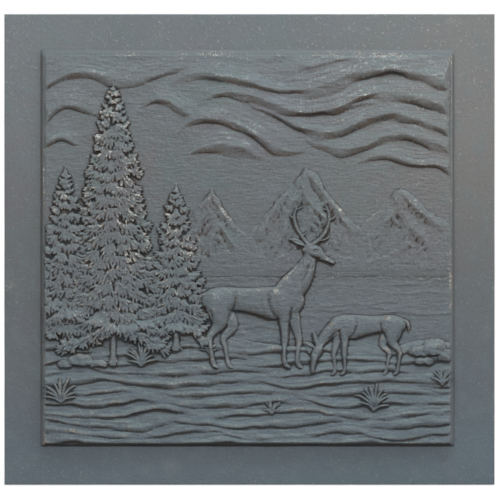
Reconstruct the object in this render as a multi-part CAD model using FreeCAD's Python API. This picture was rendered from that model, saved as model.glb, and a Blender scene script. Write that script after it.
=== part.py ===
import FreeCAD
import Part

import math
import os

from FreeCAD import Vector

# Cast iron fireplace plate, standing on its lower edge. Millimetres, +Z up, the relief faces -Y.
# The origin is the middle of the lower edge, halfway through the border's thickness.

# Plate
plate_width = 500.0
plate_height = 480.0
plate_thickness = 9.0
plate_draft = 0.8
plate_corner_round = 1.6

# Raised panel, set slightly off centre in its border as the pattern was laid
border_left = 38.0
border_right = 42.0
border_top = 37.0
border_bottom = 39.0
panel_rise = 7.0
panel_bevel = 4.6
panel_foot_round = 0.8
panel_edge_round = 0.9

# Relief: how far each motif stands out of the panel's face, and how deep its root is sunk in
relief_root = 2.0
face_margin = 2.5
cloud_lift = 3.2
cloud_upper_slope = 25.0
cloud_lower_slope = 4.0
peak_lift = 3.4
far_shore_lift = 1.5
bank_lift = 1.6
fold_lift = 4.0
fold_upper_slope = 15.0
fold_lower_slope = 4.5
fir_lift = 5.6
fir_bough_width = 13.0
fir_trunk_width = 5.5
fir_tip_reach = 7.0
rock_lift = 4.6
fern_lift = 3.0
fern_blade_width = 4.2
stag_shoulder_height = 84.0
stag_lift = 6.4
doe_shoulder_height = 62.0
doe_lift = 5.4
thin_limb_width = 8.0
thick_limb_facets = 4
thin_limb_facets = 3

# Fixing points on the back
boss_spacing_x = 360.0
boss_spacing_z = 340.0
boss_lowest_z = 70.0
boss_height = 6.0
boss_face_radius = 15.0
boss_foot_radius = 18.0
boss_hole_depth = 12.0

# Studs and nuts: an M10 thread in the plate and the nuts
stud_radius = 5.0
thread_clearance = 0.05
stud_end_clearance = 1.0
air_gap = 30.0
stud_shoulder_reach = 2.0
stud_wall_reach = 42.0
wall_thread_radius = 4.5
lock_washer_radius = 9.0
lock_washer_thickness = 2.2
lock_washer_split = 2.0
washer_clearance = 0.3
seat_clearance = 0.05
nut_across_flats = 16.0
jam_nut_height = 5.0
flange_nut_height = 10.0
flange_radius = 10.9
flange_thickness = 2.8

overrun = 1.0
same_place = 1e-6

# Derived planes and panel limits
border_front_y = -plate_thickness / 2
plate_back_y = plate_thickness / 2
face_y = border_front_y - panel_rise
boss_face_y = plate_back_y + boss_height
wall_y = plate_back_y + air_gap
foot_left = -plate_width / 2 + border_left
foot_right = plate_width / 2 - border_right
foot_low = border_bottom
foot_high = plate_height - border_top
face_left = foot_left + panel_bevel + face_margin
face_right = foot_right - panel_bevel - face_margin
face_low = foot_low + panel_bevel + face_margin
face_high = foot_high - panel_bevel - face_margin
face_width = face_right - face_left
face_height = face_high - face_low

# Relief outlines, as shares of the panel's face from its lower left corner
cloud_share = (
    ((0.340, 0.905), (0.440, 0.945), (0.560, 0.915), (0.690, 0.940), (0.840, 0.905), (0.990, 0.935)),
    ((0.420, 0.845), (0.520, 0.868), (0.620, 0.838), (0.740, 0.858), (0.880, 0.825), (0.995, 0.850)),
    ((0.330, 0.800), (0.400, 0.818), (0.480, 0.790), (0.560, 0.800), (0.660, 0.772), (0.760, 0.790)),
    ((0.600, 0.730), (0.700, 0.750), (0.800, 0.722), (0.900, 0.742), (0.990, 0.720)),
    ((0.020, 0.900), (0.090, 0.935), (0.180, 0.952), (0.260, 0.940), (0.330, 0.950)),
)
peak_share = (
    (((0.300, 0.420), (0.355, 0.500), (0.405, 0.610), (0.445, 0.560), (0.520, 0.470), (0.600, 0.420)),
     (0.405, 0.530)),
    (((0.460, 0.420), (0.530, 0.520), (0.585, 0.600), (0.650, 0.700), (0.720, 0.600), (0.800, 0.500),
      (0.880, 0.420)), (0.650, 0.600)),
    (((0.740, 0.420), (0.820, 0.540), (0.900, 0.640), (0.950, 0.600), (0.998, 0.530), (0.998, 0.420)),
     (0.895, 0.550)),
)
far_shore_share = ((0.300, 0.405), (0.998, 0.405), (0.998, 0.440), (0.900, 0.452), (0.780, 0.436),
                   (0.660, 0.455), (0.540, 0.438), (0.420, 0.454), (0.300, 0.440))
bank_share = ((0.002, 0.002), (0.998, 0.002), (0.998, 0.262), (0.900, 0.250), (0.780, 0.270),
              (0.660, 0.248), (0.540, 0.262), (0.420, 0.300), (0.300, 0.318), (0.160, 0.300), (0.002, 0.330))
fold_share = (
    ((0.005, 0.205), (0.120, 0.188), (0.250, 0.204), (0.400, 0.172), (0.550, 0.152), (0.700, 0.166),
     (0.850, 0.150), (0.995, 0.172)),
    ((0.300, 0.142), (0.420, 0.124), (0.560, 0.104), (0.700, 0.120), (0.840, 0.098), (0.995, 0.116)),
    ((0.005, 0.152), (0.100, 0.134), (0.220, 0.148), (0.340, 0.116), (0.460, 0.082)),
    ((0.050, 0.098), (0.180, 0.084), (0.300, 0.094), (0.420, 0.058), (0.580, 0.048), (0.740, 0.068),
     (0.900, 0.044), (0.995, 0.056)),
    ((0.005, 0.056), (0.120, 0.038), (0.260, 0.048), (0.380, 0.024), (0.500, 0.016)),
    ((0.560, 0.020), (0.700, 0.030), (0.850, 0.014), (0.980, 0.020)),
)
# Each fir: foot, height and half width as shares of the face, number of tiers
fir_share = (
    ((0.165, 0.235), 0.690, 0.130, 10),
    ((0.322, 0.270), 0.390, 0.075, 7),
    ((0.050, 0.260), 0.430, 0.072, 7),
)
# A fir's boughs: where the lowest tier starts, how far a tier droops, how much less its outer boughs
# droop, where on the trunk they start, where they are widest, and how much flatter the outer ones are
fir_lowest_share = 0.08
bough_droop_share = 1.15
outer_droop_share = 0.45
bough_start_share = 0.55
bough_root_share = 0.12
bough_belly_share = 0.62
outer_bough_share = 0.62
top_bough_share = 0.55
widest_tier_boughs = 6
narrowest_tier_boughs = 3
blade_belly_share = 0.45
blade_spread_angle = 68.0
outer_blade_share = 0.75
rock_share = (
    (((0.870, 0.190), (0.905, 0.250), (0.945, 0.262), (0.985, 0.225), (0.990, 0.185)), (0.935, 0.222)),
    (((0.820, 0.185), (0.845, 0.222), (0.880, 0.218), (0.892, 0.184)), (0.856, 0.203)),
    (((0.055, 0.195), (0.075, 0.238), (0.115, 0.242), (0.140, 0.198)), (0.095, 0.219)),
)
# Each fern or grass tuft: foot and blade length as shares of the face, number of blades
fern_share = (
    ((0.230, 0.205), 0.075, 7),
    ((0.045, 0.110), 0.085, 7),
    ((0.800, 0.120), 0.080, 7),
)
stag_foot_share = (0.520, 0.190)
doe_foot_share = (0.795, 0.172)

# Body of a deer facing +X: each limb's lift as a share of the deer's lift, then its points and half
# widths as shares of the shoulder height, from the ground under the middle of the body
trunk_share = (1.00, ((-0.60, 0.80, 0.080), (-0.50, 0.80, 0.165), (-0.25, 0.81, 0.175), (0.02, 0.79, 0.185),
                      (0.26, 0.78, 0.215), (0.44, 0.80, 0.180), (0.53, 0.82, 0.090)))
near_legs_share = (
    (0.85, ((-0.47, 0.78, 0.120), (-0.47, 0.68, 0.160), (-0.42, 0.53, 0.095), (-0.55, 0.37, 0.046),
            (-0.52, 0.13, 0.032), (-0.49, 0.01, 0.040))),
    (0.80, ((0.36, 0.74, 0.120), (0.34, 0.56, 0.078), (0.35, 0.33, 0.045), (0.345, 0.11, 0.030),
            (0.37, 0.01, 0.040))),
)
far_legs_share = (
    (0.50, ((-0.36, 0.66, 0.110), (-0.28, 0.50, 0.070), (-0.39, 0.35, 0.040), (-0.35, 0.13, 0.028),
            (-0.32, 0.02, 0.036))),
    (0.50, ((0.44, 0.66, 0.090), (0.49, 0.50, 0.060), (0.53, 0.32, 0.040), (0.50, 0.13, 0.028),
            (0.53, 0.02, 0.036))),
)
tail_share = (0.55, ((-0.62, 0.88, 0.030), (-0.69, 0.83, 0.038), (-0.71, 0.73, 0.022)))
raised_neck_share = (0.95, ((0.36, 0.84, 0.170), (0.47, 0.98, 0.165), (0.58, 1.18, 0.120),
                            (0.65, 1.36, 0.088)))
raised_head_share = (0.85, ((0.60, 1.44, 0.050), (0.66, 1.43, 0.085), (0.76, 1.38, 0.076),
                            (0.90, 1.29, 0.048), (0.96, 1.26, 0.032)))
raised_ear_share = (0.70, ((0.60, 1.47, 0.020), (0.50, 1.53, 0.040), (0.42, 1.55, 0.012)))
grazing_neck_share = (0.90, ((0.36, 0.82, 0.150), (0.50, 0.70, 0.130), (0.64, 0.50, 0.095),
                             (0.73, 0.34, 0.072)))
grazing_head_share = (0.85, ((0.70, 0.34, 0.050), (0.75, 0.28, 0.075), (0.81, 0.19, 0.062),
                             (0.87, 0.08, 0.038), (0.89, 0.03, 0.024)))
grazing_ear_share = (0.75, ((0.72, 0.36, 0.018), (0.63, 0.42, 0.036), (0.56, 0.45, 0.010)))
antler_share = (
    (0.50, ((0.62, 1.47, 0.026), (0.53, 1.60, 0.024), (0.46, 1.78, 0.020), (0.50, 1.98, 0.010))),
    (0.45, ((0.56, 1.56, 0.018), (0.64, 1.64, 0.014), (0.66, 1.73, 0.007))),
    (0.45, ((0.47, 1.75, 0.017), (0.38, 1.84, 0.013), (0.36, 1.93, 0.007))),
    (0.50, ((0.69, 1.47, 0.026), (0.80, 1.59, 0.024), (0.88, 1.76, 0.020), (0.86, 1.96, 0.010))),
    (0.45, ((0.76, 1.55, 0.018), (0.86, 1.57, 0.014), (0.93, 1.63, 0.007))),
    (0.45, ((0.87, 1.74, 0.017), (0.96, 1.81, 0.013), (0.99, 1.90, 0.007))),
)
limb_end_share = 0.45
limb_sink_share = 0.35
ridge_end_share = 0.25


def on_face(u, v, out=0.0):
    """A point by its shares of the panel's face, standing out of that face."""
    return Vector(face_left + u * face_width, face_y - out, face_low + v * face_height)


def within_face(point):
    """The nearest point of the panel's face, at the same depth."""
    x = min(max(point.x, face_left), face_right)
    z = min(max(point.z, face_low), face_high)
    return Vector(x, point.y, z)


def closed(points):
    return Part.makePolygon(points + points[:1])


def solid_of(faces):
    shape = Part.makeSolid(Part.makeShell(faces))
    if shape.Volume < 0:
        shape.reverse()
    return shape


def pyramid(outline, crest):
    """A low pyramid from an outline at the relief's root to one crest point."""
    base = Part.Face(closed(outline))
    sides = []
    for near, far in zip(outline, outline[1:] + outline[:1]):
        sides.append(Part.Face(closed([near, far, crest])))
    return solid_of([base] + sides)


def crag(outline, crest, lift):
    """A peak or rock, with an outline and a crest in shares of the face."""
    return pyramid([on_face(u, v, -relief_root) for u, v in outline], on_face(*crest, out=lift))


def kite(start, end, half_width, lift, belly_share):
    """A leaf or bough: a pyramid on a kite between two points of the face."""
    along = end - start
    across = Vector(-along.z, 0, along.x).normalize() * half_width
    middle = start + along * belly_share
    outline = [start, middle + across, end, middle - across]
    sunk = [Vector(p.x, face_y + relief_root, p.z) for p in outline]
    return pyramid(sunk, Vector(middle.x, face_y - lift, middle.z))


def limb_section(centre, across, half_width, lift, facets):
    """Half of an oval in a few facets, closed below the face."""
    points = []
    for step in range(facets + 1):
        turn = math.pi * step / facets
        points.append(centre + across * (half_width * math.cos(turn)) - Vector(0, lift * math.sin(turn), 0))
    return closed([points[0] + Vector(0, relief_root, 0)] + points + [points[-1] + Vector(0, relief_root, 0)])


def limb(points, widths, lift):
    """A tapered limb through points of the face; it is flatter where it is thinner."""
    widest = max(widths)
    thin = widest < thin_limb_width / 2
    facets = thin_limb_facets if thin else thick_limb_facets
    sections = []
    for index, (point, width) in enumerate(zip(points, widths)):
        before = points[max(index - 1, 0)]
        after = points[min(index + 1, len(points) - 1)]
        along = (after - before).normalize()
        across = Vector(-along.z, 0, along.x)
        depth = lift * (limb_end_share + (1 - limb_end_share) * width / widest)
        sections.append(limb_section(point, across, width, depth, facets))
    return Part.makeLoft(sections, True, thin)


def ridge(path, upper, lower, lift):
    """A long fold: a steep lower face and a wide upper slope, run out to nothing at both ends."""
    points = [on_face(u, v) for u, v in path]
    sections = []
    for index, point in enumerate(points):
        swell = ridge_end_share + (1 - ridge_end_share) * math.sin(math.pi * index / (len(points) - 1))
        high = within_face(point + Vector(0, 0, upper * swell))
        low = within_face(point - Vector(0, 0, lower * swell))
        root = Vector(0, relief_root, 0)
        crest = point - Vector(0, lift * swell, 0)
        sections.append(closed([high + root, high, crest, low, low + root]))
    return Part.makeLoft(sections, True, False)


def slab(outline, lift):
    """A level ground with the given outline, raised from the face."""
    root = [Vector(p.x, face_y + relief_root, p.z) for p in outline]
    return Part.Face(closed(root)).extrude(Vector(0, -(relief_root + lift), 0))


def bough(foot, height, rise, pitch, side, reach):
    """One drooping bough of a fir; side runs from -1 on the left to 1 on the right of its tier."""
    foot_u, foot_v = foot
    droop = pitch * bough_droop_share * (1 - outer_droop_share * abs(side))
    start_rise = rise + pitch * bough_start_share
    start = on_face(foot_u + side * reach * bough_root_share, foot_v + height * start_rise)
    end = within_face(on_face(foot_u + side * reach, foot_v + height * (rise - droop)))
    lift = fir_lift * (1 - (1 - outer_bough_share) * abs(side))
    width = fir_bough_width * (1 - (1 - top_bough_share) * rise)
    return kite(start, end, width / 2, lift, bough_belly_share)


def fir(foot, height, half_width, tiers):
    """A fir as tiers of drooping boughs on a trunk, the lower tiers wider."""
    foot_u, foot_v = foot
    pitch = (1 - fir_lowest_share) / tiers
    top = on_face(foot_u, foot_v + height)
    pieces = [kite(on_face(*foot), top, fir_trunk_width / 2, fir_lift / 2, fir_lowest_share)]
    for tier in range(tiers):
        rise = fir_lowest_share + pitch * tier
        reach = half_width * (1 - rise) + fir_tip_reach / face_width
        boughs = max(narrowest_tier_boughs, widest_tier_boughs - tier // 2 - tier % 2)
        for index in range(boughs):
            side = 2 * index / (boughs - 1) - 1
            pieces.append(bough(foot, height, rise, pitch, side, reach))
    return pieces


def fern(foot, length, blades):
    """A tuft of blades that fan out from one foot."""
    foot_u, foot_v = foot
    pieces = []
    for blade in range(blades):
        lean = math.radians(blade_spread_angle * (2 * blade / (blades - 1) - 1))
        reach = length * face_height * (outer_blade_share + (1 - outer_blade_share) * math.cos(lean))
        start = on_face(foot_u, foot_v)
        end = within_face(start + Vector(reach * math.sin(lean), 0, reach * math.cos(lean)))
        pieces.append(kite(start, end, fern_blade_width / 2, fern_lift, blade_belly_share))
    return pieces


def deer_limb(foot, size, lift, facing, limb_share):
    lift_share, stations = limb_share
    ground = on_face(*foot, out=bank_lift * limb_sink_share)
    points = [ground + Vector(facing * x * size, 0, z * size) for x, z, width in stations]
    widths = [width * size for x, z, width in stations]
    return limb(points, widths, lift * lift_share)


def stag():
    limbs = list(far_legs_share) + [tail_share, trunk_share] + list(near_legs_share)
    limbs += [raised_neck_share, raised_head_share, raised_ear_share] + list(antler_share)
    return [deer_limb(stag_foot_share, stag_shoulder_height, stag_lift, 1, share) for share in limbs]


def doe():
    limbs = list(far_legs_share) + [tail_share, trunk_share] + list(near_legs_share)
    limbs += [grazing_neck_share, grazing_head_share, grazing_ear_share]
    return [deer_limb(doe_foot_share, doe_shoulder_height, doe_lift, -1, share) for share in limbs]


def frustum(front, front_y, back, back_y):
    """A block with flat sloped sides between two rectangles, each given as left, right, low and high."""
    left, right, low, high = front
    back_left, back_right, back_low, back_high = back
    return Part.makeWedge(left, front_y, low, back_low, back_left, right, back_y, high, back_high, back_right)


def edges_on(shape, y, left, right, low, high):
    """The edges of a rectangle that lie in one plane across Y, by its corners."""
    found = []
    for edge in shape.Edges:
        box = edge.BoundBox
        flat = abs(box.YMin - y) < same_place and abs(box.YMax - y) < same_place
        upright = box.XLength < same_place and min(abs(box.XMin - left), abs(box.XMin - right)) < same_place
        level = box.ZLength < same_place and min(abs(box.ZMin - low), abs(box.ZMin - high)) < same_place
        if flat and (upright or level):
            found.append(edge)
    return found


def bare_plate():
    """The flat plate, drafted but for the edge it stands on, and the raised panel with its sloped sides."""
    half = plate_width / 2
    front = (-half + plate_draft, half - plate_draft, 0, plate_height - plate_draft)
    plate = frustum(front, border_front_y, (-half, half, 0, plate_height), plate_back_y)
    corners = [e for e in plate.Edges if e.BoundBox.YLength > plate_thickness / 2]
    plate = plate.makeFillet(plate_corner_round, corners)
    foot_limits = (foot_left, foot_right, foot_low, foot_high)
    top_limits = (foot_left + panel_bevel, foot_right - panel_bevel, foot_low + panel_bevel,
                  foot_high - panel_bevel)
    panel = frustum(top_limits, face_y, foot_limits, border_front_y)
    shape = plate.fuse(panel).removeSplitter()
    shape = shape.makeFillet(panel_foot_round, edges_on(shape, border_front_y, *foot_limits))
    return shape.makeFillet(panel_edge_round, edges_on(shape, face_y, *top_limits))


def boss_centres():
    columns = (-boss_spacing_x / 2, boss_spacing_x / 2)
    rows = (boss_lowest_z, boss_lowest_z + boss_spacing_z)
    return [(x, z) for z in rows for x in columns]


def with_bosses(shape):
    """Four tapered bosses on the back, each with a blind hole for a stud."""
    out = Vector(0, 1, 0)
    for x, z in boss_centres():
        boss = Part.makeCone(boss_foot_radius, boss_face_radius, boss_height, Vector(x, plate_back_y, z), out)
        shape = shape.fuse(boss)
    for x, z in boss_centres():
        mouth = Vector(x, boss_face_y + overrun, z)
        hole = Part.makeCylinder(stud_radius + thread_clearance, boss_hole_depth + overrun, mouth, -out)
        shape = shape.cut(hole)
    return shape


def relief():
    """Every motif of the relief, each rooted in the panel."""
    pieces = [crag(outline, crest, peak_lift) for outline, crest in peak_share]
    pieces.append(slab([on_face(u, v) for u, v in far_shore_share], far_shore_lift))
    pieces.append(slab([on_face(u, v) for u, v in bank_share], bank_lift))
    for path in cloud_share:
        pieces.append(ridge(path, cloud_upper_slope, cloud_lower_slope, cloud_lift))
    for path in fold_share:
        pieces.append(ridge(path, fold_upper_slope, fold_lower_slope, fold_lift))
    for foot, height, half_width, tiers in fir_share:
        pieces += fir(foot, height, half_width, tiers)
    pieces += [crag(outline, crest, rock_lift) for outline, crest in rock_share]
    for foot, length, blades in fern_share:
        pieces += fern(foot, length, blades)
    return pieces + stag() + doe()


def fireplace_plate():
    body = bare_plate()
    body = body.multiFuse(relief())
    return with_bosses(body)


def turned(profile, x, z):
    """A solid turned about a fixing point's axis, from (radius, y) corners."""
    corners = [Vector(x + radius, y, z) for radius, y in profile]
    return Part.Face(closed(corners)).revolve(Vector(x, 0, z), Vector(0, 1, 0), 360)


def stud(x, z):
    """A double-ended stud: a machine thread for the plate, then a slimmer one for a wall plug."""
    start = boss_face_y - boss_hole_depth + stud_end_clearance
    shoulder = wall_y + stud_shoulder_reach
    end = wall_y + stud_wall_reach
    return turned([(0, start), (stud_radius, start), (stud_radius, shoulder), (wall_thread_radius, shoulder),
                   (wall_thread_radius, end), (0, end)], x, z)


def lock_washer(x, z):
    """A split spring washer under the jam nut."""
    start = boss_face_y + seat_clearance
    inner = stud_radius + washer_clearance
    end = start + lock_washer_thickness
    outer = lock_washer_radius
    ring = turned([(inner, start), (outer, start), (outer, end), (inner, end)], x, z)
    split = Part.makeBox(lock_washer_split, lock_washer_thickness + 2 * overrun, lock_washer_radius + overrun,
                         Vector(x - lock_washer_split / 2, start - overrun, z))
    return ring.cut(split)


def hexagon(x, z, start, height):
    corner = nut_across_flats / 2 / math.cos(math.pi / 6)
    corners = [Vector(x + corner * math.cos(math.pi * k / 3), start, z + corner * math.sin(math.pi * k / 3))
               for k in range(6)]
    return Part.Face(closed(corners)).extrude(Vector(0, height, 0))


def bored(shape, x, z, start, height):
    mouth = Vector(x, start - overrun, z)
    bore = Part.makeCylinder(stud_radius + thread_clearance, height + 2 * overrun, mouth, Vector(0, 1, 0))
    return shape.cut(bore)


def jam_nut(x, z):
    start = boss_face_y + seat_clearance + lock_washer_thickness + seat_clearance
    return bored(hexagon(x, z, start, jam_nut_height), x, z, start, jam_nut_height)


def standoff_nut(x, z):
    """A flange nut whose flange bears on the wall and sets the air gap behind the plate."""
    start = wall_y - flange_nut_height
    flange_start = wall_y - flange_thickness
    neck = nut_across_flats / 2
    flange = turned([(0, flange_start), (neck, flange_start), (flange_radius, wall_y), (0, wall_y)], x, z)
    nut = hexagon(x, z, start, flange_nut_height - flange_thickness / 2).fuse(flange)
    return bored(nut, x, z, start, flange_nut_height)


def at_each_boss(make):
    return Part.makeCompound([make(x, z) for x, z in boss_centres()])


def main():
    os.makedirs("parts", exist_ok=True)
    nodes = {
        "fireplace_plate": fireplace_plate(),
        "wall_studs": at_each_boss(stud),
        "lock_washers": at_each_boss(lock_washer),
        "jam_nuts": at_each_boss(jam_nut),
        "standoff_nuts": at_each_boss(standoff_nut),
    }
    for name, shape in nodes.items():
        shape.exportStep(os.path.join("parts", name + ".step"))
        print(name, "solids", len(shape.Solids), "faces", len(shape.Faces), "valid", shape.isValid())


main()
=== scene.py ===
import math

import bmesh
import bpy
import numpy as np
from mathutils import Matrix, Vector


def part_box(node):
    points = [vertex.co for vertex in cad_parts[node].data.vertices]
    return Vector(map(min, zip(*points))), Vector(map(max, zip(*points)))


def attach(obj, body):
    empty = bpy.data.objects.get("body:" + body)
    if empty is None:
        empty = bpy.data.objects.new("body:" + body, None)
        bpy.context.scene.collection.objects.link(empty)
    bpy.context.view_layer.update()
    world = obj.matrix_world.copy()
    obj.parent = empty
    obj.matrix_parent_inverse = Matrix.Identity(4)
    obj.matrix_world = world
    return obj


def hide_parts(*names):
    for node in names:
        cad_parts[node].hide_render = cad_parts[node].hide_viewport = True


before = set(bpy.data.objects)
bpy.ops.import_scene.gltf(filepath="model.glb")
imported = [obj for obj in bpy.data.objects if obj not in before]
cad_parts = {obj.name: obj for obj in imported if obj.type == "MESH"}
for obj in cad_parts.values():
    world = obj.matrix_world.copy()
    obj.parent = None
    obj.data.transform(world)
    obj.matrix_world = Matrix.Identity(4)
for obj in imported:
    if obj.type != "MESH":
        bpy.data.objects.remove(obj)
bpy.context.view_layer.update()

mm = 0.001

# the casting's layout in mm, as the frame has it
plateLow, plateHigh = [[c / mm for c in corner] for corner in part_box("fireplace_plate")]
plate = dict(
    thickness=9.0, draft=0.8, borderLeft=38.0, borderRight=42.0, borderTop=37.0, borderBottom=39.0,
    rise=7.0, bevel=4.6, sideBevel=2.8, lowBevel=3.6, lowFoot=1.0, rim=0.3, margin=2.5,
)
borderY, backY = -plate["thickness"] / 2, plate["thickness"] / 2
faceY = borderY - plate["rise"]
footLeft, footRight = plateLow[0] + plate["borderLeft"], plateHigh[0] - plate["borderRight"]
footLow, footHigh = plateLow[2] + plate["borderBottom"], plateHigh[2] - plate["borderTop"]
faceMargin = plate["bevel"] + plate["margin"]
faceLeft, faceLow = footLeft + faceMargin, footLow + faceMargin
faceWidth, faceHeight = footRight - faceMargin - faceLeft, footHigh - faceMargin - faceLow

# the relief runs out almost to the arris
sideMargin = plate["sideBevel"] + plate["rim"]
artLeft, artRight = footLeft + sideMargin, footRight - sideMargin
artLow, artHigh = footLow + plate["lowBevel"] + plate["rim"], footHigh - (plate["bevel"] + plate["rim"])
nowhere = -9.0  # mm, below every height of the relief
sunk = -4.0  # mm, where a canvas is empty

def faceX(u):
    return faceLeft + u * faceWidth

def faceZ(v):
    return faceLow + v * faceHeight

def onFace(points):  # rows that start with u, v become rows that start with x, z
    return [(faceX(p[0]), faceZ(p[1]), *p[2:]) for p in points]

def shares(table):  # tables are in thousandths: of the face, or of a deer's shoulder height and lift
    if isinstance(table, dict):
        return {name: shares(rows) for name, rows in table.items()}
    return table / 1000 if isinstance(table, int) else [shares(row) for row in table]

# noise and curves

def noise(x, z, size, seed):  # smooth, about -1 to 1; size is the pitch in mm
    count, offset = 256, 512
    angle = np.random.RandomState(seed).uniform(0, 2 * math.pi, (count, count))
    u, w = x / size + offset, z / size + offset
    i, j = np.floor(u).astype(int), np.floor(w).astype(int)
    fu, fw = u - i, w - j
    su, sw = [f * f * f * (f * (f * 6 - 15) + 10) for f in (fu, fw)]

    def corner(a, b):
        turn = angle[(i + a) % count, (j + b) % count]
        return np.cos(turn) * (fu - a) + np.sin(turn) * (fw - b)

    low, high = [corner(0, b) * (1 - su) + corner(1, b) * su for b in (0, 1)]
    return 1.5 * (low * (1 - sw) + high * sw)

def roughness(x, z, size, seed, octaves=3):
    return sum(noise(x, z, size / 2 ** k, seed + k) / 2 ** k for k in range(octaves))

def smoothLine(points, perSpan=8):  # a curve through the points, with all their columns
    p = np.array(points, float)
    q = np.vstack([2 * p[0] - p[1], p, 2 * p[-1] - p[-2]])
    t = np.linspace(0, 1, perSpan, endpoint=False)[:, None]
    spans = [0.5 * (2 * b + (c - a) * t + (2 * a - 5 * b + 4 * c - d) * t ** 2 + (3 * b - a - 3 * c + d) * t ** 3)
             for a, b, c, d in zip(q[:-3], q[1:-2], q[2:-1], q[3:])]
    return np.vstack(spans + [p[-1:]])

def smoothMax(a, b, blend):
    return (a + b + np.sqrt((a - b) ** 2 + blend ** 2)) / 2

def ramp(value, start, end):  # 0 to 1, eased
    t = np.clip((value - start) / (end - start), 0, 1)
    return t * t * (3 - 2 * t)

def hump(along, start=0.0, end=1.0):  # up and down again between two places
    return np.sin(math.pi * np.clip((along - start) / (end - start), 0, 1))

def blurred(grid, sigma):  # sigma in cells
    reach = max(1, int(3 * sigma))
    weights = np.exp(-0.5 * (np.arange(-reach, reach + 1) / sigma) ** 2)
    weights /= weights.sum()
    padded = np.pad(grid, reach, mode="edge")
    rows = sum(w * padded[k:k + grid.shape[0], :] for k, w in enumerate(weights))
    return sum(w * rows[:, k:k + grid.shape[1]] for k, w in enumerate(weights))

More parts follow.
